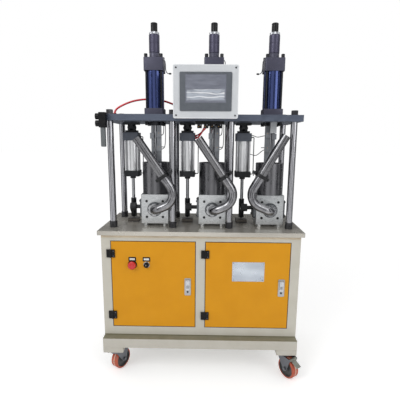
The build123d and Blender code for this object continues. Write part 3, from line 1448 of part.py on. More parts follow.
for route, radius in routes:
    with BuildPart() as hose:
        with BuildLine() as hose_path:
            FilletPolyline(*route, radius=tube_radii(route))
        with BuildSketch(Plane(origin=hose_path.line @ 0, z_dir=hose_path.line % 0)):
            Circle(radius)
        sweep(path=hose_path.line)
    hose_parts.append(hose.part)
    hose_ideal = pi * radius**2 * hose_path.wires()[0].length
    print("hose radii", [round(r) for r in tube_radii(route)], "length", round(hose_path.wires()[0].length))
    print("hose volume share", round(hose.part.volume / hose_ideal, 4))
with BuildPart() as air_hoses:
    add(hose_parts)
save(air_hoses, "air_hoses")

# Casters: fixed plates with raceway and kingpin
swivel_x = (cabinet_width - pad_size) / 2
swivel_y = (base_depth - pad_size) / 2
caster_spots = {
    "front_left": (-swivel_x, -swivel_y),
    "front_right": (swivel_x, -swivel_y),
    "rear_left": (-swivel_x, swivel_y),
    "rear_right": (swivel_x, swivel_y),
}
caster_plate_bottom_z = caster_height - caster_plate_thickness
raceway_bottom_z = caster_plate_bottom_z - raceway_height
crown_top_z = raceway_bottom_z - moving_gap
crown_bottom_z = crown_top_z - crown_height
kingpin_bottom_z = crown_bottom_z - moving_gap - kingpin_head_height
caster_points = list(caster_spots.values())
with BuildPart() as caster_plates:
    with BuildSketch(Plane.XY.offset(caster_plate_bottom_z)):
        with Locations(*caster_points):
            RectangleRounded(caster_plate_width, caster_plate_length, caster_plate_corner)
    extrude(amount=caster_plate_thickness)
    with BuildSketch(Plane.XY.offset(caster_plate_bottom_z - caster_bolt_height)):
        with Locations(*caster_points):
            with GridLocations(caster_bolt_spacing_y, caster_bolt_spacing_x, 2, 2):
                RegularPolygon(caster_bolt_radius, 6)
    extrude(amount=caster_bolt_height)
    with BuildSketch(Plane.XY.offset(raceway_bottom_z)):
        with Locations(*caster_points):
            Circle(raceway_radius)
    extrude(amount=raceway_height)
    with BuildSketch(Plane.XY.offset(kingpin_bottom_z)):
        with Locations(*caster_points):
            Circle(kingpin_radius)
    extrude(amount=raceway_bottom_z - kingpin_bottom_z)
    with BuildSketch(Plane.XY.offset(kingpin_bottom_z)):
        with Locations(*caster_points):
            Circle(kingpin_head_radius)
    extrude(amount=kingpin_head_height)
save(caster_plates, "caster_plates")


def leg_plane(spot, angle, shift):
    """A plane along the caster's trail: local x to the axle, local y up, normal to its right-hand side."""
    turn = radians(angle)
    return Plane(
        origin=(spot[0] + shift * sin(turn), spot[1] - shift * cos(turn), 0),
        x_dir=(cos(turn), sin(turn), 0),
        z_dir=(sin(turn), -cos(turn), 0),
    )


# Forks: crown on the kingpin, two pressed legs, axle with nuts and, on braked casters, the pedal's pin
leg_inner = wheel_width / 2 + fork_leg_gap
leg_outer = leg_inner + fork_leg_thickness
axle_z = wheel_radius
for name, spot in caster_spots.items():
    angle = swivel_angles[name]
    braked = name in braked_casters
    with BuildPart() as caster_fork:
        with BuildSketch(Plane.XY.offset(crown_bottom_z)):
            with Locations(spot):
                Circle(crown_radius)
        extrude(amount=crown_height)
        for leg_shift in (-leg_outer, leg_inner):
            with BuildSketch(leg_plane(spot, angle, leg_shift)):
                with Locations((caster_trail, axle_z)):
                    Circle(fork_axle_boss_radius)
                with Locations((-fork_back_reach, crown_bottom_z + fork_leg_top / 2)):
                    Circle(fork_leg_top / 2)
                with Locations((pedal_pivot_reach, pedal_pivot_height)):
                    Circle(pedal_barrel_radius)
                make_hull()
            extrude(amount=fork_leg_thickness)
        with BuildSketch(leg_plane(spot, angle, -leg_outer)):
            with Locations((0, crown_bottom_z + fork_leg_top / 2)):
                Rectangle(2 * fork_back_reach, fork_leg_top)
        extrude(amount=2 * leg_outer)
        with BuildSketch(leg_plane(spot, angle, -leg_outer - axle_nut_height)):
            with Locations((caster_trail, axle_z)):
                RegularPolygon(axle_nut_flats / 2, 6, major_radius=False)
        extrude(amount=axle_nut_height)
        with BuildSketch(leg_plane(spot, angle, leg_outer)):
            with Locations((caster_trail, axle_z)):
                RegularPolygon(axle_nut_flats / 2, 6, major_radius=False)
        extrude(amount=axle_nut_height)
        with BuildSketch(leg_plane(spot, angle, -leg_outer)):
            with Locations((caster_trail, axle_z)):
                Circle(axle_radius)
            if braked:
                with Locations((pedal_pivot_reach, pedal_pivot_height)):
                    Circle(pedal_pivot_radius)
        extrude(amount=2 * leg_outer)
        with BuildSketch(Plane.XY.offset(crown_bottom_z)):
            with Locations(spot):
                Circle(kingpin_radius + running_gap)
        extrude(amount=crown_height, mode=Mode.SUBTRACT)
    save(caster_fork, f"caster_fork_{name}")

# Wheels: dished hub and a tread with round shoulders, revolved about the axle
web = wheel_web_width / 2
half_width = wheel_width / 2
tread_inner = wheel_radius - tread_thickness
for name, spot in caster_spots.items():
    turn = radians(swivel_angles[name])
    axle_center = (spot[0] + caster_trail * cos(turn), spot[1] + caster_trail * sin(turn), axle_z)
    axle_direction = (sin(turn), -cos(turn), 0)
    with BuildPart() as caster_wheel:
        with BuildSketch(
            Plane(origin=axle_center, x_dir=axle_direction, z_dir=(-cos(turn), -sin(turn), 0))
        ):
            with BuildLine():
                bore = axle_radius + running_gap
                left_corner = (-half_width, wheel_radius - wheel_shoulder_radius)
                right_corner = (half_width, wheel_radius - wheel_shoulder_radius)
                Polyline(
                    left_corner,
                    (-half_width, tread_inner),
                    (-web, tread_inner - tread_thickness / 3),
                    (-web, hub_radius),
                    (-half_width, hub_radius),
                    (-half_width, bore),
                    (half_width, bore),
                    (half_width, hub_radius),
                    (web, hub_radius),
                    (web, tread_inner - tread_thickness / 3),
                    (half_width, tread_inner),
                    right_corner,
                )
                RadiusArc(
                    right_corner,
                    (half_width - wheel_shoulder_radius, wheel_radius),
                    -wheel_shoulder_radius,
                )
                Line(
                    (half_width - wheel_shoulder_radius, wheel_radius),
                    (wheel_shoulder_radius - half_width, wheel_radius),
                )
                RadiusArc(
                    (wheel_shoulder_radius - half_width, wheel_radius),
                    left_corner,
                    -wheel_shoulder_radius,
                )
            make_face()
        revolve(axis=Axis(axle_center, axle_direction))
    save(caster_wheel, f"caster_wheel_{name}")

# Brake pedals: pressed levers that turn on the pin between the fork legs
pedal_turn = atan2(pedal_drop, pedal_length)
for name in braked_casters:
    spot = caster_spots[name]
    angle = swivel_angles[name]
    pedal_half = leg_inner - pedal_play
    with BuildPart() as brake_pedal:
        with BuildSketch(leg_plane(spot, angle, -pedal_width / 2)):
            with Locations((pedal_pivot_reach + pedal_length / 2, pedal_pivot_height - pedal_drop / 2)):
                Rectangle(
                    sqrt(pedal_length**2 + pedal_drop**2), pedal_thickness, rotation=-degrees(pedal_turn)
                )
            with Locations((pedal_pivot_reach + pedal_length, pedal_pivot_height - pedal_drop - pedal_lip / 4)):
                Circle(pedal_lip / 2)
        extrude(amount=pedal_width)
        with BuildSketch(leg_plane(spot, angle, -pedal_half)):
            with Locations((pedal_pivot_reach, pedal_pivot_height)):
                Circle(pedal_barrel_radius)
        extrude(amount=2 * pedal_half)
        with BuildSketch(leg_plane(spot, angle, -pedal_half)):
            with Locations((pedal_pivot_reach, pedal_pivot_height)):
                Circle(pedal_pivot_radius + running_gap)
        extrude(amount=2 * pedal_half, mode=Mode.SUBTRACT)
    save(brake_pedal, f"brake_pedal_{name}")
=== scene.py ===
"""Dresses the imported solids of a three-head sealant filling machine: finishes, fittings, light and camera."""

from __future__ import annotations

import logging
import math
from collections.abc import Sequence
from dataclasses import dataclass, field, replace
from enum import Enum

import bmesh
import bpy
from mathutils import Matrix, Vector


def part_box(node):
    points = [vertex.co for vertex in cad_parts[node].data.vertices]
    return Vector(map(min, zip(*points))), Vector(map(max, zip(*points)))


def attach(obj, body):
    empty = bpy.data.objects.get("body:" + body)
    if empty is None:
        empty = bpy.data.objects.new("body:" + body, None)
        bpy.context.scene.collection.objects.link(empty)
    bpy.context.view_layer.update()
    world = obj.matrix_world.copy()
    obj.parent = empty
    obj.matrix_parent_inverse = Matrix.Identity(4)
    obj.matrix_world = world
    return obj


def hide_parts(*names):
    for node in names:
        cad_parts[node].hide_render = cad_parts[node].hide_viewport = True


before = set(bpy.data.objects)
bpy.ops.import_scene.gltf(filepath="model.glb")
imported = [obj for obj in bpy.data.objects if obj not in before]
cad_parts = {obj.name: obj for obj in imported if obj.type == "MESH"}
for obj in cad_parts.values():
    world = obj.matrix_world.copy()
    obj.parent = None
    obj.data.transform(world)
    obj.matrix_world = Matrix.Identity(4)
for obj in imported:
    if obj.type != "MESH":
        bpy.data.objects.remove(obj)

LOG = logging.getLogger("filling_machine")
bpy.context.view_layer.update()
Point = tuple[float, float, float]
Flat = tuple[float, float]
Place = Point | Vector
Socket = bpy.types.NodeSocket
Tree = bpy.types.ShaderNodeTree
Material = bpy.types.Material
X_AXIS: Point = (1.0, 0.0, 0.0)
Y_AXIS: Point = (0.0, 1.0, 0.0)
Z_AXIS: Point = (0.0, 0.0, 1.0)
TO_FRONT: Point = (0.0, -1.0, 0.0)
VECTOR_SOCKETS = {"Vector", "Stretch", "Middle", "Half", "Centre", "Axis", "Normal"}
DUST_COLOUR: Point = (196, 192, 184)
HEADS = ((-0.282, 1), (0.068, 1), (0.418, -1))
HEAD_Y = -0.045
ACTUATORS = (-0.44, -0.09, 0.26)
ACTUATOR_Y = 0.017


def linear(colour: Point) -> tuple[float, float, float, float]:
    """Turns a colour written in 0-255 screen values into linear light.

    Args:
        colour: Red, green and blue from 0 to 255.

    Returns:
        The linear colour with full alpha.
    """
    channels = []
    for value in colour:
        share = value / 255.0
        channels.append(share / 12.92 if share <= 0.04045 else ((share + 0.055) / 1.055) ** 2.4)
    return (channels[0], channels[1], channels[2], 1.0)


class Graph:
    """A shader node tree with short calls to add nodes and join them."""

    def __init__(self, tree: Tree) -> None:
        """Starts on the tree of a material, a world or a shader node group."""
        self.tree = tree

    def feed(self, node: bpy.types.Node, feeds: dict[str | int, object]) -> None:
        """Joins or sets a node's inputs.

        Args:
            node: The node.
            feeds: Socket name or number to the value or the output socket that feeds it.
        """
        for key, value in feeds.items():
            if isinstance(value, Socket):
                self.tree.links.new(value, node.inputs[key])
            else:
                node.inputs[key].default_value = value

    def add(
        self, kind: str, feeds: dict[str | int, object] | None = None, **settings: object
    ) -> bpy.types.Node:
        """Adds a node.

        Args:
            kind: The node's type name, without its ShaderNode prefix.
            feeds: What its inputs get, as in feed.
            **settings: Properties of the node.

        Returns:
            The new node.
        """
        node = self.tree.nodes.new("ShaderNode" + kind)
        for key, value in settings.items():
            setattr(node, key, value)
        self.feed(node, feeds or {})
        return node

    def use(self, group: Tree, feeds: dict[str | int, object]) -> bpy.types.Node:
        """Places a shared effect in the tree."""
        return self.add("Group", feeds, node_tree=group)

    def math(self, operation: str, first: object, second: object = 0.0) -> Socket:
        """Adds a Math node and returns its output."""
        return self.add("Math", {0: first, 1: second}, operation=operation).outputs[0]

    def vector(self, operation: str, first: object, second: object = (0.0, 0.0, 0.0)) -> Socket:
        """Adds a Vector Math node and returns its vector, or its number where it gives one."""
        node = self.add("VectorMath", {0: first, 1: second}, operation=operation)
        return node.outputs["Value" if operation in ("DOT_PRODUCT", "LENGTH") else "Vector"]

    def noise(self, place: Socket, scale: object, detail: float) -> Socket:
        """Adds a noise texture and returns its value."""
        return self.add("TexNoise", {"Vector": place, "Scale": scale, "Detail": detail}).outputs[0]

    def mix(self, factor: object, first: object, second: object) -> Socket:
        """Mixes two colours by a factor and returns the result."""
        return self.add("Mix", {0: factor, 6: first, 7: second}, data_type="RGBA").outputs[2]

    def blend(self, factor: object, first: object, second: object) -> Socket:
        """Mixes two numbers by a factor and returns the result."""
        return self.add("Mix", {0: factor, 2: first, 3: second}).outputs[0]

    def span(self, value: Socket, low: float, high: float) -> Socket:
        """Maps 0 to 1 onto a range and returns the result."""
        return self.add("MapRange", {0: value, 3: low, 4: high}).outputs[0]

    def window(self, value: Socket, low: float, high: object, ease: bool = False) -> Socket:
        """Maps a range onto 0 to 1, with soft ends if asked, and returns the result."""
        kind = "SMOOTHSTEP" if ease else "LINEAR"
        return self.add("MapRange", {0: value, 1: low, 2: high}, interpolation_type=kind).outputs[0]

    def grey(self, level: Socket) -> Socket:
        """Makes a grey of a level and returns it."""
        return self.add("CombineColor", {0: level, 1: level, 2: level}).outputs[0]

    def seen_rays(self) -> Socket:
        """Gives 1 for the rays by which the background is seen, directly or mirrored."""
        rays = self.add("LightPath").outputs
        seen = self.math("MAXIMUM", rays["Is Camera Ray"], rays["Is Transmission Ray"])
        return self.math("MAXIMUM", seen, rays["Is Glossy Ray"])


class Grain(Enum):
    """How a surface was made, which decides its fine relief."""

    SPRAYED = "sprayed"
    BRUSHED = "brushed"
    CAST = "cast"


class Effects:
    """The shader node groups that the finishes share, each built once."""

    def __init__(self) -> None:
        """Builds every group."""
        self.grains = {
            Grain.SPRAYED: self._peel(), Grain.BRUSHED: self._brushed(), Grain.CAST: self._cast(),
        }
        self.smudge = self._smudge()
        self.wear = self._wear()
        self.dust = self._dust()
        self.soft_edges = self._soft_edges()
        self.box_mask = self._box_mask()
        self.axle_reach = self._axle_reach()

    @staticmethod
    def _group(name: str, inputs: str, outputs: str) -> tuple[Graph, Sequence[Socket], bpy.types.Node]:
        """Makes an empty group with named sockets.

        Args:
            name: The group's name.
            inputs: Names of its inputs, with spaces between them.
            outputs: Names of its outputs, with spaces between them.

        Returns:
            A graph on the group, the sockets of its input node and its output node.
        """
        tree = bpy.data.node_groups.new(name, "ShaderNodeTree")
        for side, labels in (("INPUT", inputs), ("OUTPUT", outputs)):
            for label in labels.split():
                kind = "NodeSocketVector" if label in VECTOR_SOCKETS else "NodeSocketFloat"
                tree.interface.new_socket(name=label, in_out=side, socket_type=kind)
        entry = tree.nodes.new("NodeGroupInput").outputs
        return Graph(tree), entry, tree.nodes.new("NodeGroupOutput")

    def _peel(self) -> Tree:
        """Sprayed or powder-coated paint: fine round dimples over slow waves."""
        graph, entry, leave = self._group("SprayedPaint", "Vector Scale", "Height Shade")
        fine = graph.noise(entry[0], entry[1], 3.0)
        slow = graph.noise(entry[0], graph.math("MULTIPLY", entry[1], 0.012), 4.0)
        height = graph.math("ADD", graph.math("MULTIPLY", fine, 0.7), slow)
        graph.feed(leave, {"Height": height, "Shade": graph.span(slow, 0.0, 1.0)})
        return graph.tree

    def _brushed(self) -> Tree:
        """Ground or turned metal: long hairlines across the stretched direction."""
        graph, entry, leave = self._group("BrushedMetal", "Vector Scale Stretch", "Height Shade")
        drawn = graph.vector("MULTIPLY", entry[0], entry[2])
        lines = graph.noise(drawn, entry[1], 5.0)
        bands = graph.noise(drawn, graph.math("MULTIPLY", entry[1], 0.07), 3.0)
        shade = graph.math("ADD", graph.math("MULTIPLY", lines, 0.55), graph.math("MULTIPLY", bands, 0.45))
        graph.feed(leave, {"Height": lines, "Shade": shade})
        return graph.tree

    def _cast(self) -> Tree:
        """Cast, moulded or extruded skin: small cells softened by noise."""
        graph, entry, leave = self._group("CastSkin", "Vector Scale", "Height Shade")
        cells = graph.add("TexVoronoi", {"Vector": entry[0], "Scale": entry[1]}).outputs[0]
        noise = graph.noise(entry[0], entry[1], 4.0)
        height = graph.math("ADD", graph.math("MULTIPLY", cells, 0.5), noise)
        slow = graph.noise(entry[0], graph.math("MULTIPLY", entry[1], 0.03), 3.0)
        graph.feed(leave, {"Height": height, "Shade": slow})
        return graph.tree

    def _smudge(self) -> Tree:
        """Handling marks: wide soft patches that change the gloss."""
        graph, entry, leave = self._group("HandlingMarks", "Vector Scale", "Mask")
        warp = graph.add("TexNoise", {"Vector": entry[0], "Scale": entry[1], "Detail": 2.0})
        patches = graph.noise(graph.vector("ADD", entry[0], warp.outputs[1]), entry[1], 5.0)
        graph.feed(leave, {"Mask": graph.window(patches, 0.32, 0.68, ease=True)})
        return graph.tree

    def _wear(self) -> Tree:
        """Worn specks and short scratches where a surface gets knocked."""
        graph, entry, leave = self._group("WornSpecks", "Vector Scale Amount", "Mask")
        specks = graph.noise(entry[0], entry[1], 8.0)
        over = graph.math("SUBTRACT", specks, graph.math("SUBTRACT", 0.8, entry[2]))
        graph.feed(leave, {"Mask": graph.add("Clamp", {0: graph.math("MULTIPLY", over, 14.0)}).outputs[0]})
        return graph.tree

    def _dust(self) -> Tree:
        """Dust that settles on faces turned upwards."""
        graph, entry, leave = self._group("SettledDust", "Vector Amount", "Mask")
        normal = graph.add("NewGeometry").outputs["Normal"]
        lying = graph.window(graph.add("SeparateXYZ", {0: normal}).outputs[2], 0.3, 1.0, ease=True)
        settled = graph.math("MULTIPLY", lying, graph.noise(entry[0], 26.0, 6.0))
        graph.feed(leave, {"Mask": graph.math("MULTIPLY", settled, entry[1])})
        return graph.tree

    def _soft_edges(self) -> Tree:
        """Rounds hard edges in the shading and finds where a coat wears thin on them."""
        graph, entry, leave = self._group("SoftEdges", "Vector Radius", "Normal Edge")
        eased = graph.add("Bevel", {"Radius": entry[1]}, samples=4).outputs[0]
        facing = graph.vector("DOT_PRODUCT", eased, graph.add("NewGeometry").outputs["Normal"])
        chips = graph.window(graph.noise(entry[0], 60.0, 5.0), 0.42, 0.62)
        edge = graph.math("MULTIPLY", graph.window(facing, 0.97, 0.8), chips)
        graph.feed(leave, {"Normal": eased, "Edge": edge})
        return graph.tree

    def _box_mask(self) -> Tree:
        """1 inside a box given by its middle and half sizes, fading to 0 at its faces."""
        graph, entry, leave = self._group("InsideBox", "Vector Middle Half Fade", "Mask")
        away = graph.vector("ABSOLUTE", graph.vector("SUBTRACT", entry[0], entry[1]))
        room = graph.add("SeparateXYZ", {0: graph.vector("SUBTRACT", entry[2], away)}).outputs
        least = graph.math("MINIMUM", graph.math("MINIMUM", room[0], room[1]), room[2])
        graph.feed(leave, {"Mask": graph.window(least, 0.0, entry[3], ease=True)})
        return graph.tree

    def _axle_reach(self) -> Tree:
        """Distance from an axle and distance along it."""
        graph, entry, leave = self._group("AxleReach", "Vector Centre Axis", "Radial Along")
        away = graph.vector("SUBTRACT", entry[0], entry[1])
        along = graph.vector("DOT_PRODUCT", away, entry[2])
        foot = graph.add("VectorMath", {0: entry[2], "Scale": along}, operation="SCALE").outputs[0]
        radial = graph.vector("LENGTH", graph.vector("SUBTRACT", away, foot))
        graph.feed(leave, {"Radial": radial, "Along": graph.math("ABSOLUTE", along)})
        return graph.tree


@dataclass(frozen=True)
class Zone:
    """A box-shaped part of a piece that has its own colour and gloss."""

    low: Point
    high: Point
    colour: Point
    roughness: float
    metallic: float = 0.0
    fade: float = 0.0004


@dataclass(frozen=True)
class Finish:
    """One surface finish: its colours, gloss, relief, wear and dust."""

    name: str
    colour: Point
    shade: Point
    roughness: Flat
    grain: Grain
    scale: float
    relief: float
    metallic: float = 0.0
    stretch: Point = (1.0, 1.0, 1.0)
    wear: float = 0.0
    worn: Point = (150, 150, 148)
    dust: float = 0.0
    coat: float = 0.0
    smudge_scale: float = 7.0
    edge: float = 0.0
    gloss: float = 0.5
    zones: tuple[Zone, ...] = ()

    def zoned(self, name: str, *zones: Zone) -> "Finish":
        """Makes a copy under another name, with its own colour in some zones."""
        return replace(self, name=name, zones=zones)


class Paintshop:
    """Turns finishes into materials, keeps each one it has made and coats CAD nodes with them."""

    WEAR_SCALE = 95.0
    BUMP_STRENGTH = 0.5
    EDGE_SHARE = 0.6

    def __init__(self) -> None:
        """Builds the shared effects."""
        self.effects = Effects()
        self.made: dict[str, Material] = {}

    @staticmethod
    def blank(name: str) -> tuple[Material, Graph, bpy.types.Node]:
        """Makes a material with a Principled shader and nothing else."""
        material = bpy.data.materials.new(name)
        material.use_nodes = True
        return material, Graph(material.node_tree), material.node_tree.nodes["Principled BSDF"]

    def _inside(self, graph: Graph, place: Socket, zone: Zone) -> Socket:
        """Places the mask of a zone and returns it."""
        middle = tuple((a + b) / 2 for a, b in zip(zone.low, zone.high))
        half = tuple((b - a) / 2 for a, b in zip(zone.low, zone.high))
        feeds = {"Vector": place, "Middle": middle, "Half": half, "Fade": zone.fade}
        return graph.use(self.effects.box_mask, feeds).outputs[0]

    def mix_in(self, finish: Finish) -> Material:
        """Builds, or finds again, the material of a finish.

        Args:
            finish: The finish to build.

        Returns:
            The material.
        """
        if finish.name in self.made:
            return self.made[finish.name]
        material, graph, shader = self.blank(finish.name)
        place = graph.add("TexCoord").outputs["Object"]
        feeds: dict[str | int, object] = {"Vector": place, "Scale": finish.scale}
        if finish.grain is Grain.BRUSHED:
            feeds["Stretch"] = finish.stretch
        skin = graph.use(self.effects.grains[finish.grain], feeds).outputs
        marks = graph.use(self.effects.smudge, {"Vector": place, "Scale": finish.smudge_scale}).outputs[0]
        share = graph.window(skin["Shade"], 0.3, 0.7)
        colour = graph.mix(share, linear(finish.colour), linear(finish.shade))
        rough = graph.span(marks, *finish.roughness)
        metal: Socket | float = finish.metallic
        if finish.wear > 0.0:
            feeds = {"Vector": place, "Scale": self.WEAR_SCALE, "Amount": finish.wear}
            worn = graph.use(self.effects.wear, feeds).outputs[0]
            colour = graph.mix(worn, colour, linear(finish.worn))
        for zone in finish.zones:
            inside = self._inside(graph, place, zone)
            tinted = graph.mix(share, linear(zone.colour), linear(tuple(0.93 * c for c in zone.colour)))
            colour = graph.mix(inside, colour, tinted)
            rough = graph.blend(inside, rough, zone.roughness)
            metal = graph.blend(inside, metal, zone.metallic)
        if finish.dust > 0.0:
            dusty = graph.use(self.effects.dust, {"Vector": place, "Amount": finish.dust}).outputs[0]
            colour = graph.mix(dusty, colour, linear(DUST_COLOUR))
        relief = {"Strength": self.BUMP_STRENGTH, "Distance": finish.relief, "Height": skin["Height"]}
        if finish.edge > 0.0:
            eased = graph.use(self.effects.soft_edges, {"Vector": place, "Radius": finish.edge}).outputs
            relief["Normal"] = eased["Normal"]
            rubbed = graph.math("MULTIPLY", eased["Edge"], self.EDGE_SHARE)
            colour = graph.mix(rubbed, colour, linear(finish.worn))
        graph.feed(shader, {
            "Base Color": colour, "Roughness": rough, "Normal": graph.add("Bump", relief).outputs[0],
            "Metallic": metal, "Specular IOR Level": finish.gloss, "Coat Weight": finish.coat,
            "Coat Roughness": 0.12,
        })
        self.made[finish.name] = material
        return material

    def wheel(self, name: str, centre: Point, axis: Point) -> Material:
        """Builds the material of one caster wheel: tread, pale middle line and dark hub.

        Args:
            name: The material's name.
            centre: Middle of the wheel.
            axis: Unit vector along the axle.

        Returns:
            The material.
        """
        material, graph, shader = self.blank(name)
        place = graph.add("TexCoord").outputs["Object"]
        feeds = {"Vector": place, "Centre": centre, "Axis": axis}
        reach = graph.use(self.effects.axle_reach, feeds).outputs
        skin = graph.use(self.effects.grains[Grain.CAST], {"Vector": place, "Scale": 700.0}).outputs
        marks = graph.use(self.effects.smudge, {"Vector": place, "Scale": 24.0}).outputs[0]
        tread = graph.mix(skin["Shade"], linear((196, 92, 62)), linear((168, 72, 48)))
        hub = graph.mix(skin["Shade"], linear((58, 58, 60)), linear((74, 73, 72)))
        line = graph.math("LESS_THAN", reach["Along"], 0.0035)
        tread = graph.mix(graph.math("MULTIPLY", line, 0.75), tread, linear((228, 196, 176)))
        colour = graph.mix(graph.math("GREATER_THAN", reach["Radial"], 0.0515), hub, tread)
        scuff = graph.use(self.effects.wear, {"Vector": place, "Scale": 70.0, "Amount": 0.24}).outputs[0]
        colour = graph.mix(graph.math("MULTIPLY", scuff, 0.5), colour, linear((120, 112, 104)))
        relief = {"Strength": self.BUMP_STRENGTH, "Distance": 0.0006, "Height": skin["Height"]}
        graph.feed(shader, {
            "Base Color": colour, "Roughness": graph.span(marks, 0.42, 0.62),
            "Normal": graph.add("Bump", relief).outputs[0],
        })
        return material

    def screen(self, name: str, film: Zone) -> Material:
        """Builds the dark display with its rippled protective film, a painted pale reflection and painted
        glints on the film's folds.

        Args:
            name: The material's name.
            film: The pale area of the film, where its reflection is painted.

        Returns:
            The material.
        """
        material, graph, shader = self.blank(name)
        place = graph.add("TexCoord").outputs["Object"]
        drawn = graph.vector("MULTIPLY", place, (1.4, 1.0, 6.5))
        feeds = {"Vector": drawn, "Scale": 9.0, "Detail": 3.0, "Distortion": 0.6}
        ripple = graph.add("TexNoise", feeds).outputs[0]
        dark = graph.mix(ripple, linear((74, 78, 92)), linear((128, 132, 145)))
        inside = self._inside(graph, place, film)
        uneven = graph.add("MapRange", {0: ripple, 1: 0.36, 2: 0.58, 3: 0.35, 4: 1.0}).outputs[0]
        pale = graph.mix(ripple, linear(film.colour), linear((138, 146, 160)))
        colour = graph.mix(graph.math("MULTIPLY", inside, uneven), dark, pale)
        feeds = {"Vector": drawn, "Scale": 2.2, "Distortion": 7.0, "Detail": 1.0, "Detail Scale": 2.4}
        folds = graph.add("TexWave", feeds, bands_direction="Z").outputs[1]
        # Painted highlight: near-white glints on the crests of the film's folds.
        painted_glint = graph.add("MapRange", {0: folds, 1: 0.72, 2: 1.0, 4: 0.8}).outputs[0]
        colour = graph.mix(graph.math("MULTIPLY", painted_glint, inside), colour, linear((236, 238, 241)))
        bump = graph.add("Bump", {"Strength": 0.35, "Distance": 0.001, "Height": ripple}).outputs[0]
        graph.feed(shader, {
            "Base Color": colour, "Roughness": graph.span(ripple, 0.12, film.roughness), "Normal": bump,
            "Coat Weight": 0.5, "Coat Roughness": 0.08,
        })
        return material

    def material_of(self, look: Finish | Material) -> Material:
        """Gives the material of a finish, and a material as it is."""
        return look if isinstance(look, Material) else self.mix_in(look)

    def coat(self, look: Finish | Material, *nodes: str) -> None:
        """Gives CAD nodes a finish or a material."""
        material = self.material_of(look)
        for name in nodes:
            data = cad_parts[name].data
            data.materials.clear()
            data.materials.append(material)
            LOG.info("node %s wears %s", name, material.name)


SPRAYED, BRUSHED, CAST = Grain


